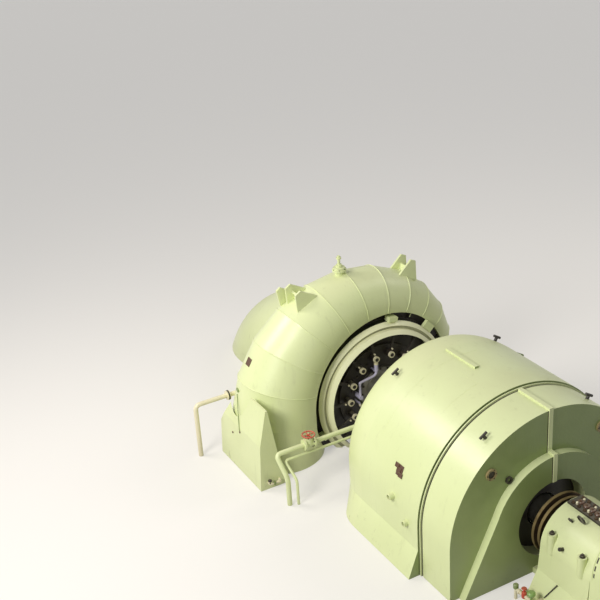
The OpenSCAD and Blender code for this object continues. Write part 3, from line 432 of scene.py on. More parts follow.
def grid(rows, cols, wrap_rows=False):
    """Quads between neighbours in a grid whose rows are rings; wrap_rows joins the last to the first."""
    i, j = np.meshgrid(np.arange(rows if wrap_rows else rows - 1), np.arange(cols), indexing="ij")
    k, m = (j + 1) % cols, (i + 1) % rows
    quads = np.stack([i * cols + j, i * cols + k, m * cols + k, m * cols + j], axis=-1)
    return quads.reshape(-1, 4).tolist()


def capped(rows, cols):
    """The grid of a tube with a flat face at each end."""
    return grid(rows, cols) + [list(range(cols)), list(range((rows - 1) * cols, rows * cols))]


def joined(*shapes):
    """Several shapes, each (points, faces), as one."""
    starts = np.cumsum([0] + [len(points) for points, faces in shapes])
    faces = [[start + i for i in face] for start, shape in zip(starts, shapes) for face in shape[1]]
    return np.concatenate([points for points, faces in shapes]), faces


print("slots known to the helper:", len(SLOTS))

# %% [markdown]
# Most of the machine is round, and most of that round the shaft. So one formula gives all circles:
# a place along the line, a radius and an angle.


# %% Circles
def around(count):
    """Equal angles once round, in radians: 2 pi k / count."""
    return 2 * np.pi * np.arange(count) / count


def round_shaft(x, radius, angles, height=SHAFT_Z):
    """Points (x, r cos a, height + r sin a)."""
    x, radius, a = np.broadcast_arrays(x, radius, angles)
    return np.stack([x, radius * np.cos(a), height + radius * np.sin(a)], axis=-1)


def straight_out(angles):
    """Directions away from the shaft: (0, cos a, sin a)."""
    return round_shaft(0.0, 1.0, angles, 0.0)


def round_z(h, radius, angles):
    """Points (r cos a, r sin a, h) round the Z axis."""
    return round_shaft(h, radius, angles, 0.0)[..., [1, 2, 0]]


print("angles in a ring of 12:", len(around(12)))

# %% [markdown]
# The spiral case is rolled plate, welded from 14 straight segments that meet in mitres. Each mitre
# is a circle whose radius shrinks as the case winds on, so the skin is lofted: circles at the
# mitres, and straight lines between. The front opening isn't cut by a Boolean. Each circle is split
# there: most of its points run over the outside, and the rest lie on the opening's cylinder.

# %% The spiral case and its leg
CASE_X, CASE_IN, OPENING = -2.700, 0.930, 1.260
INLET_R, SHRINK, SEGMENTS, SEGMENT_A = 0.680, 0.400, 14, 16.0
OUTSIDE, INSIDE, LEG_STEPS = 132, 28, 12


def section(angle):
    """One circle of the case, (x, distance from the shaft): r = 0.68 m less 0.4 m per half turn."""
    radius = INLET_R - SHRINK * (180.0 - angle) / 180.0
    middle = CASE_IN + radius
    cut = np.arccos((OPENING - middle) / radius)
    over = np.linspace(-cut, cut, OUTSIDE)
    across = np.linspace(radius * np.sin(cut), -radius * np.sin(cut), INSIDE + 2)[1:-1]
    x = np.concatenate([radius * np.sin(over), across])
    far_out = np.concatenate([middle + radius * np.cos(over), np.full(INSIDE, OPENING)])
    return CASE_X + x, far_out


def case_ring(angle):
    """The circle stood up in space at its angle round the shaft."""
    return round_shaft(*section(angle), np.radians(angle))


def cut_at_floor(rings):
    """Points under the floor slide up their own column to where it goes through z = 0."""
    height = rings[..., 2]
    first = np.argmax(height > 0.0, axis=0)
    column = np.arange(rings.shape[1])
    under, over = rings[np.maximum(first - 1, 0), column], rings[first, column]
    rise = np.where(first > 0, over[:, 2] - under[:, 2], 1.0)
    crossing = under - (under[:, 2] / rise)[:, None] * (over - under)
    crossing[:, 2] = 0.0
    below = np.arange(len(rings))[:, None] < first
    return np.where(below[..., None], crossing, rings)


mitres = [case_ring(180.0 - SEGMENT_A * i) for i in range(SEGMENTS, -1, -1)]
share = np.linspace(0.0, 1.0, 5)[:-1, None, None]
skin = np.concatenate([p + share * (q - p) for p, q in zip(mitres[:-1], mitres[1:])] + [mitres[-1][None]])
reach = np.hypot(skin[..., 1], skin[..., 2] - SHAFT_Z)
push = np.maximum(OPENING / reach, 1.0)
skin[..., 1] *= push
skin[..., 2] = SHAFT_Z + (skin[..., 2] - SHAFT_Z) * push
skin = cut_at_floor(skin)
drop = np.linspace(1.0, 0.0, LEG_STEPS + 1)[1:, None]
leg = np.repeat(mitres[-1][None], LEG_STEPS, axis=0)
leg[..., 2] = SHAFT_Z * drop
leg_edge = -np.sqrt(OPENING**2 - (SHAFT_Z - leg[..., 2]) ** 2)
leg_x = np.abs(leg[..., 0] - CASE_X)
on_round = -(CASE_IN + INLET_R) + np.sqrt(np.maximum(INLET_R**2 - leg_x**2, 0.0))
inner = np.arange(leg.shape[1]) >= OUTSIDE
leg[:, inner, 1] = np.minimum(on_round, leg_edge)[:, inner]
leg[..., 1] = np.minimum(leg[..., 1], leg_edge)
case_skin = np.concatenate([skin, leg])
case_skin[..., 2] = np.maximum(case_skin[..., 2], 0.0)
rows, cols = case_skin.shape[:2]
case_shell = make("case_shell", case_skin, capped(rows, cols), pale_green, crease=40.0)
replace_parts(case_shell, "spiral_case", "inlet_leg")
print("points in the case's skin:", rows * cols)

# %% [markdown]
# At a mitre the case turns by 16 degrees, less than the angle from which the helper marks an edge.
# So the mitres are marked by their place: an edge lies on one where both its ends stand at a whole
# number of segments round the shaft.

# %% Sharp mitres
skin_mesh = case_shell.data
corners = np.zeros(3 * len(skin_mesh.vertices))
skin_mesh.vertices.foreach_get("co", corners)
corners = corners.reshape(-1, 3)
turns = (180.0 - np.degrees(np.arctan2(corners[:, 2] - SHAFT_Z, corners[:, 1]))) / SEGMENT_A
whole = (np.abs(turns - np.round(turns)) < 1e-3) & (corners[:, 2] > 0.001)
whole &= (corners[:, 2] > SHAFT_Z - 0.001) | (corners[:, 1] > 0.0)
ends = np.zeros(2 * len(skin_mesh.edges), int)
skin_mesh.edges.foreach_get("vertices", ends)
ends = ends.reshape(-1, 2)
on_mitre = whole[ends].all(axis=1) & (np.abs(turns[ends[:, 0]] - turns[ends[:, 1]]) < 0.5)
marks = skin_mesh.attributes.get("sharp_edge")
marks = marks or skin_mesh.attributes.new("sharp_edge", "BOOLEAN", "EDGE")
sharp = np.zeros(len(ends), bool)
marks.data.foreach_get("value", sharp)
marks.data.foreach_set("value", sharp | on_mitre)
print("edges on mitres:", int(on_mitre.sum()))

# %% [markdown]
# A tube, the form of pipes, weld beads and rods, is a ring of points carried along a line. The ring
# stands square to the line, and its side vector is carried on from the station before, so the tube
# doesn't twist. A pipe has straight runs, and a smooth curve near each corner.


# %% Tubes
def unit(vectors):
    """Vectors brought to length one."""
    return vectors / np.linalg.norm(vectors, axis=-1, keepdims=True)


def bent(corners, reach, steps=9):
    """A line with rounded corners: (1 - t)^2 a + 2 t (1 - t) corner + t^2 b, from a to b near each."""
    corners = np.asarray(corners, float)
    t = np.linspace(0.0, 1.0, steps)[:, None]
    line = [corners[:1]]
    for before, corner, after in zip(corners[:-2], corners[1:-1], corners[2:]):
        a = corner + reach * unit(before - corner)
        b = corner + reach * unit(after - corner)
        line.append((1 - t) ** 2 * a + 2 * t * (1 - t) * corner + t**2 * b)
    return np.concatenate(line + [corners[-1:]])


def tube(line, radius, sides=20):
    """A round skin along a line: centre + radius (cos u side + sin u upper) at every station."""
    line = np.asarray(line, float)
    ahead = unit(np.gradient(line, axis=0))
    start = [0.0, 0.0, 1.0] if abs(ahead[0][2]) < 0.9 else [1.0, 0.0, 0.0]
    side = [unit(np.cross(ahead[0], start))]
    for direction in ahead[1:]:
        side.append(unit(side[-1] - (side[-1] @ direction) * direction))
    side = np.array(side)
    upper = np.cross(ahead, side)
    u = around(sides)
    ring = np.cos(u)[None, :, None] * side[:, None] + np.sin(u)[None, :, None] * upper[:, None]
    points = line[:, None] + np.broadcast_to(radius, (len(line),))[:, None, None] * ring
    return points.reshape(-1, 3), capped(len(line), sides)


def straight(a, b):
    """A straight line in three stations, enough for a tube."""
    return np.linspace(a, b, 3)


# The weld beads lie on the mitres that show, from the opening's one rim over to the other
beads = []
for ring in mitres[1:-1]:
    arc = ring[:OUTSIDE:3]
    beads.append(tube(arc[arc[:, 2] > 0.0], 0.008, 6))
make("case_weld_beads", *joined(*beads), pale_green)
print("weld beads:", len(beads))

# %% [markdown]
# The cooling pipe rises from the floor, goes through the valve and ends at the bearing. A thinner
# pipe keeps it company a hand's breadth below. Both have the solids' own corners, now rounded.

# %% The painted pipes
COOL_X, COOL_Z, COOL_R, COOL_BEND = -1.560, 0.750, 0.036, 0.080
FACE_X = -0.903
cool_low = bent(
    [(-1.370, -2.170, 0.0), (-1.370, -2.170, 0.430), (COOL_X, -2.230, COOL_Z), (COOL_X, -1.790, COOL_Z)],
    COOL_BEND,
)
cool_high = bent([(COOL_X, -1.610, COOL_Z), (COOL_X, -0.620, COOL_Z), (FACE_X, -0.620, COOL_Z)], COOL_BEND)
cool = joined(tube(cool_low, COOL_R, 28), tube(cool_high, COOL_R, 28))
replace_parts(make("cooling_pipe_run", *cool, pale_green), "cooling_pipe")
THIN_Z = 0.620
thin_corners = [(-1.310, -2.060, 0.0), (-1.310, -2.060, 0.400), (-1.540, -2.110, THIN_Z)]
thin_corners += [(-1.540, -0.760, THIN_Z), (FACE_X, -0.760, THIN_Z)]
thin = bent(thin_corners, 0.060)
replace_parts(make("drain_pipe_run", *tube(thin, 0.020, 20), pale_green), "drain_pipe")
print("stations in the thin pipe:", len(thin))

# %% [markdown]
# A turned part is a closed profile of (place along the shaft, radius) carried round the shaft. A stub
# is rings of points stacked along Z, and can then face any way. A hexagon bolt is two stubs, with 12
# sides for the washer and 6 for the head. A row of bolts is one mesh.


# %% Turned parts, stubs and bolts
def turned(profile, sides):
    """A closed profile (x, r) carried round the shaft."""
    x, r = np.array(profile, float).T
    return round_shaft(x, r, around(sides)[:, None]).reshape(-1, 3), grid(sides, len(x), True)


def stub(sides, levels):
    """Rings (radius, height) stacked along Z and closed at both ends."""
    r, h = np.array(levels, float).T
    return round_z(h[:, None], r[:, None], around(sides)).reshape(-1, 3), capped(len(levels), sides)


def spread(shape, places, normals, size=1.0):
    """Copies of a shape at places, its Z turned to each normal: place + size (a u + b v + c n)."""
    points, faces = shape
    places = np.asarray(places, float).reshape(-1, 3)
    n = unit(np.broadcast_to(np.asarray(normals, float), places.shape))
    lean = np.where(np.abs(n[:, :1]) > 0.9, np.array([[0.0, 0.0, 1.0]]), np.array([[1.0, 0.0, 0.0]]))
    u = unit(np.cross(lean, n))
    turn = np.stack([u, np.cross(n, u), n], axis=2)
    moved = np.einsum("nij,pj->npi", turn, points * size) + places[:, None]
    copies = [[k * len(points) + i for i in face] for k in range(len(places)) for face in faces]
    return moved.reshape(-1, 3), copies


def stand(sides, levels, place, normal=UP):
    """One stub at one place."""
    return spread(stub(sides, levels), [place], normal)


def on_circle(x, radius, angles, above=0.03):
    """Places on a circle round the shaft at x, those above the floor only."""
    places = round_shaft(x, radius, np.radians(angles))
    return places[places[:, 2] > above]


def every(count, first=0.0):
    """Angles of a whole pattern of count."""
    return first + 360.0 * np.arange(count) / count


BOLT = joined(stub(12, [(1.0, 0.0), (1.0, 0.16)]), stub(6, [(0.84, 0.16), (0.84, 0.66), (0.72, 0.76)]))
STUD = joined(BOLT, stub(8, [(0.40, 0.7), (0.40, 1.15), (0.32, 1.22)]))
print("faces of one bolt:", len(BOLT[1]))

# %% [markdown]
# Seven rows of bolts hold the turbine together. Each row is a circle of its own: where it stands
# along the shaft, its radius, how many bolts a whole turn has, and the bolt's size.

# %% Bolts on the turbine
COVER_X, LAND_X, DRAFT_X = -2.360, -2.310, -4.000
rows_of_bolts = [
    spread(BOLT, on_circle(COVER_X, 0.900, every(28, 6.4)), ALONG, 0.026),
    spread(BOLT, on_circle(LAND_X, 0.530, every(14, 12.9)), ALONG, 0.020),
    spread(BOLT, on_circle(COVER_X + 0.050, 0.340, every(16)), ALONG, 0.018),
    spread(BOLT, on_circle(COVER_X + 0.260, 0.300, every(12, 15.0)), ALONG, 0.016),
    spread(BOLT, on_circle(DRAFT_X + 0.050, 0.897, every(32)), ALONG, 0.034),
    spread(STUD, on_circle(DRAFT_X - 0.050, 0.897, every(32)), BACK, 0.034),
    spread(BOLT, on_circle(-3.030, 0.897, every(32, 5.6)), BACK, 0.034),
]
make("turbine_bolts", *joined(*rows_of_bolts), bolt_steel)
print("bolts on the turbine:", sum(len(points) for points, faces in rows_of_bolts) // len(BOLT[0]))

# %% [markdown]
# Guide vane stems end in bosses on the head cover. From the gallery each looks like a pale ring with
# a dark middle: a pale collar, with a black cap on the stem's end. Beside each sits the small shear
# pin that breaks first if a stone jams a vane.

# %% Vane collars and shear pins
VANES, VANE_R, PIN_R = every(14, 180.0), 0.610, 0.700
boss_front = LAND_X + 0.070 + 0.026
collar = round_z([0.0, 0.0, 0.036, 0.036], [0.0295, 0.050, 0.050, 0.0295], around(24)[:, None])
collar = (collar.reshape(-1, 3), grid(24, 4, True))
collars = spread(collar, on_circle(boss_front, VANE_R, VANES), ALONG)
make("vane_washers", *collars, cream, crease=40.0)
pin = stub(10, [(0.013, 0.0), (0.013, 0.022), (0.009, 0.026)])
make("shear_pins", *spread(pin, on_circle(boss_front, PIN_R, VANES), ALONG), cream)
cap = stub(16, [(0.028, -0.004), (0.028, 0.002), (0.020, 0.005)])
make("vane_stem_caps", *spread(cap, on_circle(boss_front + 0.040, VANE_R, VANES), ALONG), black)
print("guide vanes:", len(VANES))

# %% [markdown]
# Small radial ribs stand in the gap round the head cover, and their front edges catch the light.
# Each gets a thin pale bar there as a painted highlight: eight corners, moved across the rib, out from
# the shaft and along it.

# %% Edges of the stay ribs
RIB_X, RIB_R = -2.3715, 1.2165
SQUARE = ((-1, -1), (1, -1), (1, 1), (-1, 1))
rib_a = np.radians(-30.0 + 18.0 * np.arange(14))
rib_a = rib_a[SHAFT_Z + RIB_R * np.sin(rib_a) > 0.05]
rib_out = straight_out(rib_a)
bar = np.array([(s, o, x) for x in (0.0, 0.004) for s, o in SQUARE], float)
bars = (
    round_shaft(RIB_X, RIB_R, rib_a)[:, None]
    + 0.006 * bar[:, :1] * np.cross(rib_out, ALONG)[:, None]
    + 0.034 * bar[:, 1:2] * rib_out[:, None]
    + bar[:, 2:] * ALONG
)
make("stay_rib_edges", *joined(*[(points, capped(2, 4)) for points in bars]), pale_green)
print("ribs with an edge:", len(bars))

# %% [markdown]
# The seal water pipes are thin, lilac-grey and end in pale caps. Close to the case the pressure
# pipe has a flange pair: two white rings with a black gasket between them.

# %% Seal pipes and the pressure pipe
SEAL_X = COVER_X + 0.140


def in_plane(x, *pairs):
    """Points (x, y, z) from pairs (y, z) in one plane square to the shaft."""
    return [(x, y, z) for y, z in pairs]


seal_corners = in_plane(
    SEAL_X, (-0.430, 0.755), (-0.430, 1.000), (-0.175, 1.040), (-0.130, 1.080), (-0.130, 1.120)
)
seal_parts = [
    tube(bent(seal_corners, 0.018), 0.020, 16),
    tube(straight((SEAL_X, -0.130, 1.120), (SEAL_X, -0.130, 1.240)), 0.032, 20),
    tube(straight((COVER_X, -0.430, 0.755), (COVER_X + 0.170, -0.430, 0.755)), 0.034, 20),
    tube(straight((COVER_X, -0.130, 1.100), (SEAL_X, -0.130, 1.100)), 0.016, 12),
    tube(straight((COVER_X, -0.455, 0.660), (SEAL_X, -0.455, 0.660)), 0.015, 12),
    tube(in_plane(SEAL_X, (-0.455, 0.672), (-0.412, 0.576), (-0.370, 0.480)), 0.014, 12),
]
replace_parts(make("seal_pipe_run", *joined(*seal_parts), lilac), "seal_pipes")
tops = [
    tube(in_plane(SEAL_X, (-0.130, 1.225), (-0.130, 1.240), (-0.130, 1.254)), 0.034, 20),
    tube(in_plane(SEAL_X, (-0.445, 0.640), (-0.440, 0.625), (-0.432, 0.610)), 0.022, 16),
]
make("seal_pipe_caps", *joined(*tops), cream)
STUB_X, STUB_Z = -3.260, 0.880
stub_line = bent(in_plane(STUB_X, (-1.985, STUB_Z), (-2.690, STUB_Z), (-2.690, 0.0)), 0.090)
flange_at = in_plane(STUB_X, (-2.120, STUB_Z), (-2.156, STUB_Z))
white_rings = spread(stub(32, [(0.070, 0.0), (0.074, 0.003), (0.074, 0.014)]), flange_at, NEAR)
pressure = joined(tube(stub_line, COOL_R, 28), white_rings)
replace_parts(make("pressure_pipe_run", *pressure, cream), "water_stub")
gasket = stand(32, [(0.076, 0.0), (0.076, 0.022)], (STUB_X, -2.134, STUB_Z), NEAR)
make("pressure_pipe_gasket", *gasket, black)
print("stations in the pressure pipe:", len(stub_line))

# %% [markdown]
# The draft tube bends down behind the case. Its solid has flat facets, so the scene lays a smooth
# skin in the same place: a circle of radius 0.84 m carried along an arc of 2.16 m. Every line along
# the bend has its own length, so that it ends just where it goes through the floor.

# %% The draft bend
DRAFT_R, BEND_R, ACROSS, DOWN = 0.840, 2.160, 97, 40
reach_down = BEND_R - SHAFT_Z
u_end = np.arccos((reach_down - BEND_R) / DRAFT_R)
u = np.linspace(-u_end, u_end, ACROSS)[None]
q = BEND_R + DRAFT_R * np.cos(u)
down = np.linspace(0.0, 1.0, DOWN)[:, None] * np.arccos(np.clip(reach_down / q, -1.0, 1.0))
bend_x = DRAFT_X - 0.050 - q * np.sin(down)
bend_y = np.broadcast_to(DRAFT_R * np.sin(u), bend_x.shape)
bend = np.stack([bend_x, bend_y, q * np.cos(down) - reach_down], axis=-1)
i, j = np.meshgrid(np.arange(DOWN - 1), np.arange(ACROSS - 1), indexing="ij")
k = (i * ACROSS + j).reshape(-1, 1)
bend_grid = np.concatenate([k, k + 1, k + ACROSS + 1, k + ACROSS], axis=1).tolist()
bend_grid += [list(range(ACROSS)), list(range((DOWN - 1) * ACROSS, DOWN * ACROSS))]
plate = np.array([(DRAFT_X - 0.050, 0.945), (DRAFT_X - 0.045, 0.950), (DRAFT_X, 0.950)])
flange = round_shaft(plate[:, :1], plate[:, 1:], around(128))
bend_points, bend_faces = joined((bend.reshape(-1, 3), bend_grid), (flange.reshape(-1, 3), capped(3, 128)))
bend_points[:, 2] = np.maximum(bend_points[:, 2], 0.0)
draft_bend = make("draft_bend", bend_points, bend_faces, pale_green, crease=25.0)
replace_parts(draft_bend, "draft_elbow")
print("points in the draft bend:", len(bend_points))

# %% [markdown]
# The generator's turbine end is a dished plate: the housing's outline, drawn in along a quarter
# circle. The outline is a half circle over the shaft, and walls down to the knee and the foot.


# %% The rounded end
def arch(radius, foot, knee=0.390, steps=120):
    """The housing's outline from the near foot over the top to the far foot, as points (y, z)."""
    a = np.linspace(np.pi, 0.0, steps)
    y = np.concatenate([[-foot, -radius], radius * np.cos(a), [radius, foot]])
    z = np.concatenate([[0.0, knee], SHAFT_Z + radius * np.sin(a), [knee, 0.0]])
    return y, z


def round_loop(x, radius, foot):
    """The outline closed along the floor."""
    y, z = arch(radius, foot)
    floor_y = np.linspace(foot, -foot, 26)[1:-1]
    y, z = np.concatenate([y, floor_y]), np.concatenate([z, np.zeros_like(floor_y)])
    return np.stack([np.full_like(y, x), y, z], axis=1)


HOUSING_X, HOUSING_R, SKIRT, FACE_R = -0.420, 1.540, 1.690, 1.409
BULGE_DEPTH, BORE_R = 0.483, 0.230
bulge = np.radians(np.linspace(90.0, 0.0, 22))
loops = [
    round_loop(
        HOUSING_X - BULGE_DEPTH * np.sin(a),
        HOUSING_R - (HOUSING_R - FACE_R) * k,
        SKIRT - (SKIRT - FACE_R) * k,
    )
    for a, k in zip(bulge, 1.0 - np.cos(bulge))
]
bore = loops[0].copy()
bore[:, 1:] = np.array([0.0, SHAFT_Z]) + BORE_R * unit(bore[:, 1:] - np.array([0.0, SHAFT_Z]))
bore_back = bore.copy()
bore_back[:, 0] = HOUSING_X
end_loops = np.array([bore] + loops + [bore_back])
end_faces = grid(len(end_loops), end_loops.shape[1], True)
rounded_end = make("rounded_end", end_loops, end_faces, pale_green, crease=17.0)
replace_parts(rounded_end, "turbine_end")
print("loops in the rounded end:", len(end_loops))

# %% [markdown]
# The seal strip in the joint, the black strips that paint the shade in the joint's gaps and in the
# split between the shield's halves, and the barrel's seams are all strips: a flat profile carried
# along a line on a surface, and stood off along its normal.


# %% Strips and the joint
def strip(line, normals, width, thick, sunk=0.002):
    """A flat strip along a line: half the width to each side, from sunk below to thick above."""
    line = np.asarray(line, float)
    n = unit(np.broadcast_to(np.asarray(normals, float), line.shape))
    side = 0.5 * width * unit(np.cross(np.gradient(line, axis=0), n))
    low, high = line - sunk * n, line + thick * n
    ring = np.stack([low - side, low + side, high + side, high - side], axis=1)
    return ring.reshape(-1, 3), capped(len(line), 4)


def over_arch(x, radius, foot, width, thick):
    """A strip that goes over the housing at one place along the shaft."""
    y, z = arch(radius, foot)
    line = np.stack([np.full_like(y, x), y, z], axis=1)
    ahead = np.gradient(line, axis=0)
    return strip(line, np.stack([np.zeros_like(y), -ahead[:, 2], ahead[:, 1]], axis=1), width, thick)


BAND_R, SHIELD_END, PLATE_END, SPLIT_Y = 1.488, 1.537, 1.647, -0.035
joint_line = over_arch(0.930, BAND_R, BAND_R, 0.015, 0.036)
make("joint_strip", *joint_line, pale_green)
# Painted shade: black strips in the joint's gaps on each side of the seal strip.
joint_gap_shades = [over_arch(0.911, BAND_R, BAND_R, 0.012, 0.010), over_arch(0.949, BAND_R, BAND_R, 0.018, 0.012)]
make("joint_gap_shades", *joined(*joint_gap_shades), black)
# Painted shade: a black strip down the split between the shield's halves.
gaps = [
    strip(
        np.linspace((x, SPLIT_Y, SHAFT_Z + low), (x, SPLIT_Y, SHAFT_Z + high), 5), ALONG, 0.010, 0.003
    )
    for x, low, high in ((SHIELD_END, 0.914, 1.500), (PLATE_END, 0.544, 0.906))
]
make("split_gap_shades", *joined(*gaps), black)
print("strips at the joint and the split:", 1 + len(joint_gap_shades) + len(gaps))

# %% [markdown]
# On the photo's barrel a cover plate shows as two thin seams, and a longer one goes over the top
# near the turbine's end. They are strips that stand only 1.5 mm proud, in the barrel's own paint.

# %% Seams on the barrel
seam_a = np.radians(np.linspace(102.0, 122.0, 24))


def on_barrel(x, angles, radius=HOUSING_R):
    """A line on the barrel, and the direction straight out from it."""
    return round_shaft(x, radius, angles), straight_out(angles)


seams = [
    strip(*on_barrel(0.518, seam_a), 0.007, 0.0015),
    strip(*on_barrel(np.linspace(0.111, 0.518, 24), np.full(24, seam_a[0])), 0.007, 0.0015),
    strip(*on_barrel(-0.170, np.radians(np.linspace(82.0, 150.0, 80))), 0.006, 0.0015),
]
make("barrel_seams", *joined(*seams), pale_green)
print("seams:", len(seams))

# %% [markdown]
# Nameplates are thin etched plates. Here they stay blank: a plate, a raised rim and a screw in each
# corner. The photo shows three stacked in steps on the barrel and one on the case.


# %% Blank plates
def blank_plate(place, normal, width, height):
    """A plate with a rim, built flat and stood on its place; also its screws and the way they face."""
    n = unit(np.array(normal, float))
    a = unit(np.array(ALONG) - n[0] * n)
    half = np.array(SQUARE, float) * (width / 2, height / 2)
    flat = half[:, :1] * a + half[:, 1:] * np.cross(n, a)
    levels = ((1.0, -0.004), (1.0, 0.005), (0.97, 0.007), (0.90, 0.007), (0.88, 0.004))
    points = np.concatenate([place + s * flat + h * n for s, h in levels])
    return (points, capped(len(levels), 4)), place + 0.8 * flat + 0.004 * n, np.tile(n, (4, 1))


BARREL_PLATES = ((0.322, 157.4, 0.080, 0.062), (0.376, 159.2, 0.085, 0.070), (0.428, 160.9, 0.080, 0.062))
plates = [blank_plate(np.array([-2.769, -1.967, 1.612]), (-0.08, -0.86, 0.51), 0.125, 0.120)]
for x, angle, width, height in BARREL_PLATES:
    place, out = on_barrel(x, np.radians(angle), HOUSING_R + 0.009)
    plates.insert(-1, blank_plate(place, out, width, height))
plate_shapes, screw_places, screw_normals = zip(*plates)
make("blank_plates", *joined(*plate_shapes), brown_plate, crease=20.0)
screw = stub(10, [(0.006, 0.0), (0.006, 0.003), (0.004, 0.005)])
screws = spread(screw, np.concatenate(screw_places), np.concatenate(screw_normals))
make("plate_screws", *screws, brass)
print("blank plates:", len(plate_shapes))

# %% [markdown]
# The inspection ports are tan rings round dark glass. The two drains on the near wall are short pipe
# ends, with a black disc of painted shade at the bottom of each hole. The coupling turns, so its bolts
# ride on the rotor, unlike the bearing's.

# %% Ports, drains and bolt circles
port_places = on_circle(SHIELD_END + 0.004, 1.290, (50.0, 134.0))
glass = spread(stub(40, [(0.051, 0.0), (0.051, 0.006), (0.030, 0.010)]), port_places, ALONG)
make("port_glass", *glass, black, crease=50.0)
ring_screws = np.concatenate([place + 0.066 * straight_out(around(6)) for place in port_places])
ring_screws[:, 0] = SHIELD_END + 0.026
make("port_screws", *spread(BOLT, ring_screws, ALONG, 0.0085), bolt_steel)


def pipe_end(outer, hole, length, depth):
    """A short pipe end along Z with a blind hole: out along the wall, over the rim and in again."""
    outside = [(outer, -0.040), (outer, length - 0.003), (outer - 0.003, length)]
    return stub(32, outside + [(hole, length), (hole, length - depth)])


DRAINS = (((0.344, -1.540, 0.900), 0.044), ((0.668, -1.540, 0.680), 0.040))
drains = [spread(pipe_end(r, r - 0.009, 0.060, 0.045), [place], NEAR) for place, r in DRAINS]
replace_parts(make("wall_drains", *joined(*drains), pale_green), "side_fittings")
# Painted shade: a black disc at the bottom of each drain's hole.
hole_shades = [stand(24, [(r - 0.01, 0.0), (r - 0.01, 0.004)], (x, -1.554, z), NEAR) for (x, wall, z), r in DRAINS]
make("drain_darks", *joined(*hole_shades), black)
bearing_ring = spread(BOLT, on_circle(FACE_X - 0.060, 0.448, every(18)), BACK, 0.024)
make("turbine_bearing_bolts", *bearing_ring, bolt_steel)
coupling = [
    spread(BOLT, on_circle(-1.470, 0.292, every(12)), ALONG, 0.034),
    spread(STUD, on_circle(-1.650, 0.292, every(12)), BACK, 0.034),
]
make("coupling_bolts", *joined(*coupling), bolt_steel, body="rotor")
print("drains and ports:", len(DRAINS), len(port_places))

# %% [markdown]
# Three rings beside the outboard bearing throw off the oil that creeps along the shaft. Each gets a
# brass rim, a rectangle turned round the shaft, and rides on the rotor.

# %% Rims of the thrower rings
THROWERS = ((1.757, 0.430), (1.837, 0.405), (1.917, 0.380))
rims = []
for x, r in THROWERS:
    back, front, inner, outer = x - 0.003, x + 0.037, r - 0.006, r + 0.002
    rims.append(turned([(back, inner), (front, inner), (front, outer), (back, outer)], 128))
make("thrower_rims", *joined(*rims), brass, body="rotor")
print("rims on the rotor:", len(rims))

# %% [markdown]
# The outboard bearing is the busiest spot in the photo. Its cap is held by four big studs, and along
# the top runs a strip with small covers, nuts and grease caps in brown and white.

# %% Studs and the strip on the cap
stud_places = np.array([(x, y, 1.000) for x in (2.168, 2.692) for y in (-0.470, 0.470)])
make("cap_studs", *spread(STUD, stud_places, UP, 0.036), bolt_steel)
STRIP_Z = 1.239
strip_x = np.linspace(2.085, 2.775, 8)
nut_places = [(x, y, STRIP_Z) for x in strip_x for y in (-0.078, 0.078)]
make("strip_nuts", *spread(STUD, nut_places, UP, 0.026), bronze)
cover_places = [(x + 0.048, 0.0, STRIP_Z) for x in strip_x[:-1]]
COVER = [(0.046, 0.0), (0.046, 0.012), (0.040, 0.020), (0.014, 0.022), (0.014, 0.034), (0.008, 0.038)]
make("strip_covers", *spread(stub(20, COVER), cover_places, UP), brown_plate)
cap_places = [(x + 0.045, y, STRIP_Z) for x in strip_x[::2] for y in (-0.060, 0.050)]
grease_cap = stub(12, [(0.017, 0.0), (0.017, 0.026), (0.010, 0.034)])
make("grease_caps", *spread(grease_cap, cap_places, UP), cream)
print("nuts on the strip:", len(nut_places))

# %% [markdown]
# Studs hold the bedplate to the floor, and smaller bolts the guard's end sheet and the cap's face.

# %% Bolts of the bearing cap, bedplate and guard
outboard_bolts = [
    spread(STUD, [(x, s * 0.685, 0.080) for x in (2.02, 2.95, 3.25, 3.55) for s in (-1, 1)], UP, 0.030),
    spread(BOLT, on_circle(4.080, 0.945, np.linspace(4.0, 176.0, 15)), ALONG, 0.014),
    spread(BOLT, on_circle(2.000, 0.440, np.linspace(10.0, 170.0, 9)), BACK, 0.022),
]
make("bearing_bolts", *joined(*outboard_bolts), bolt_steel)
print("rows of bolts at the outboard end:", len(outboard_bolts))

# %% [markdown]
# At the bearing's near corner a cream drain pipe runs low along the pedestal. A red cock and a green
# knob stand on it, and a thin black lever leans down from the pedestal.

# %% The fittings at the bearing's near corner
PIPE_Y, PIPE_Z = -0.790, 0.150
corner_line = [(x, PIPE_Y, z) for x, z in ((1.915, 0.0), (1.915, PIPE_Z), (2.240, PIPE_Z))]
corner_line.append((2.240, -0.655, PIPE_Z))
corner_parts = [
    tube(bent(corner_line, 0.045), 0.021, 18),
    spread(stub(20, [(0.032, 0.0), (0.032, 0.030)]), [(x, PIPE_Y, PIPE_Z) for x in (1.970, 2.170)], ALONG),
]
make("corner_pipe", *joined(*corner_parts), cream)
corner_cap = stand(20, [(0.034, 0.0), (0.034, 0.050), (0.022, 0.062)], (1.915, PIPE_Y, 0.160))
make("corner_pipe_cap", *corner_cap, deep_green)
COCK = [(0.030, -0.040), (0.034, 0.0), (0.030, 0.040), (0.014, 0.050), (0.014, 0.095)]
cock = joined(
    stand(20, COCK, (2.070, PIPE_Y, 0.160)),
    stand(20, [(0.030, 0.0), (0.036, 0.006), (0.030, 0.014)], (2.070, PIPE_Y, 0.250)),
)
make("corner_cock", *cock, red)
KNOB = [(0.014, 0.0), (0.014, 0.060), (0.040, 0.070), (0.052, 0.090), (0.052, 0.115), (0.036, 0.130)]
make("corner_knob", *stand(24, KNOB, (2.200, PIPE_Y, 0.165)), knob_green)
lever = tube([(2.375, -0.545, 0.400), (2.325, -0.590, 0.300), (2.268, -0.645, 0.185)], 0.008, 10)
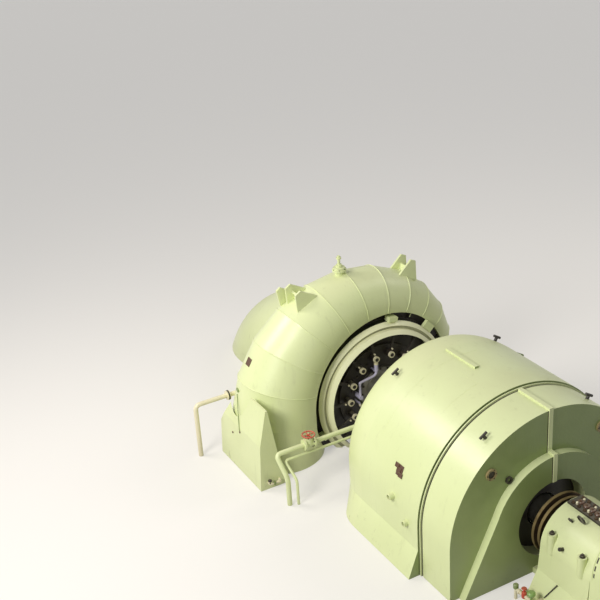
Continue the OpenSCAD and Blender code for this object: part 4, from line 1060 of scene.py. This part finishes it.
make("pedestal_lever", *lever, black)
print("parts of the corner pipe:", len(corner_parts))

# %% [markdown]
# The guard and the hood over the shaft are sheet metal. Their edges carry an angle rim, and the hood
# has short air slots near its front edge, drawn as black strips of painted shade. The shaft end's
# housing has a cover plate with bolts.

# %% Rims, slots and the end cover
GUARD_R, HOOD_R, HOOD_Z = 0.990, 0.530, 0.900
guard_a = np.radians(np.linspace(0.0, 180.0, 90))
hood_a = np.radians(np.linspace(-12.0, 192.0, 90))
rims = [strip(*on_barrel(x, guard_a, GUARD_R), 0.034, 0.006) for x in (4.062, 3.658)]
rims.append(strip(round_shaft(2.915, HOOD_R, hood_a, HOOD_Z), straight_out(hood_a), 0.028, 0.006))
make("guard_rims", *joined(*rims), pale_green)
SLOT_ARCS = ((174.0, 180.0), (163.0, 170.0), (151.0, 159.0), (0.0, 6.0), (10.0, 17.0), (21.0, 29.0))
arcs = [np.radians(np.linspace(low, high, 6)) for low, high in SLOT_ARCS]
# Painted shade: the air slots are black strips on the hood, not openings.
slot_shades = [strip(round_shaft(2.952, HOOD_R, a, HOOD_Z), straight_out(a), 0.018, 0.002) for a in arcs]
make("hood_slots", *joined(*slot_shades), black)
end_cover = stand(64, [(0.156, -0.002), (0.156, 0.008), (0.150, 0.012)], (4.400, 0.0, SHAFT_Z), ALONG)
make("end_cover", *end_cover, pale_green)
make("end_cover_bolts", *spread(BOLT, on_circle(4.412, 0.128, every(8, 22.5)), ALONG, 0.013), bolt_steel)
print("rims and slots:", len(rims) + len(slot_shades))

# %% [markdown]
# The gate valve has flanges held by bolts, and the air valve on the case too. At the foot of the case
# sits a small cock with a black knob, an oval boss and two plugs.

# %% Small fittings on the turbine's near side
VALVE = np.array([-1.560, -1.700, 0.750])
six = around(6) + np.pi / 6
valve_bolts = []
for way in (1.0, -1.0):
    circle = round_z(0.0, 0.066, six)[:, [0, 2, 1]] + (0.0, -0.062 * way, 0.0)
    valve_bolts.append(spread(BOLT, VALVE + circle, (0.0, way, 0.0), 0.011))
valve_bolts.append(spread(BOLT, VALVE + round_z(0.096, 0.044, six), UP, 0.010))
valve_bolts.append(spread(BOLT, round_z(2.706, 0.0965, six) + (CASE_X, -0.404, 0.0), UP, 0.008))
make("valve_bolts", *joined(*valve_bolts), bolt_steel)
gland = stand(6, [(0.026, 0.0), (0.026, 0.018)], VALVE + (0.0, 0.0, 0.096))
make("valve_gland", *gland, brass)
size = np.array([[1.0], [1.0], [0.8]])
oval = round_z(np.array([[-0.010], [0.010], [0.014]]), size, around(28)) * (0.026, 0.062, 1.0)
boss = spread((oval.reshape(-1, 3), capped(3, 28)), [(-2.824, -2.163, 1.180)], (-0.23, -0.94, 0.24))
make("leg_oval_boss", *boss, deep_green)
plug = stub(14, [(0.016, -0.004), (0.016, 0.006), (0.010, 0.009)])
plug_places = [(-2.771, -2.334, 0.540), (-2.527, -2.327, 0.660)]
make("foot_plugs", *spread(plug, plug_places, (0.0, -1.0, 0.1)), brown_plate)
gauge = [(-2.815, -2.185, 1.120), (-2.650, -2.268, 0.960), (-2.580, -2.305, 0.830), (-2.530, -2.330, 0.680)]
make("leg_gauge_line", *tube(bent(gauge, 0.05), 0.006, 8), deep_green)
COCK_X, COCK_Y, COCK_Z = -1.820, -2.240, 0.110
cock_line = [(-1.884, y, COCK_Z) for y in (COCK_Y, -2.060)]
cock_line[1:1] = [(COCK_X, y, COCK_Z) for y in (COCK_Y, -2.060)]
nut = stand(16, [(0.024, 0.0), (0.024, 0.028)], (COCK_X, -2.110, COCK_Z), (0.0, 1.0, 0.0))
make("foot_cock", *joined(tube(bent(cock_line, 0.030), 0.015, 14), nut), cream)
body = stand(16, [(0.020, -0.022), (0.024, 0.0), (0.018, 0.026)], (COCK_X, -2.165, COCK_Z))
make("foot_cock_body", *body, deep_green)
FOOT_KNOB = [(0.008, 0.0), (0.008, 0.040), (0.028, 0.048), (0.028, 0.066), (0.018, 0.074)]
make("foot_cock_knob", *stand(18, FOOT_KNOB, (COCK_X, COCK_Y, 0.118)), black)
print("rows of valve bolts:", len(valve_bolts))

# %% [markdown]
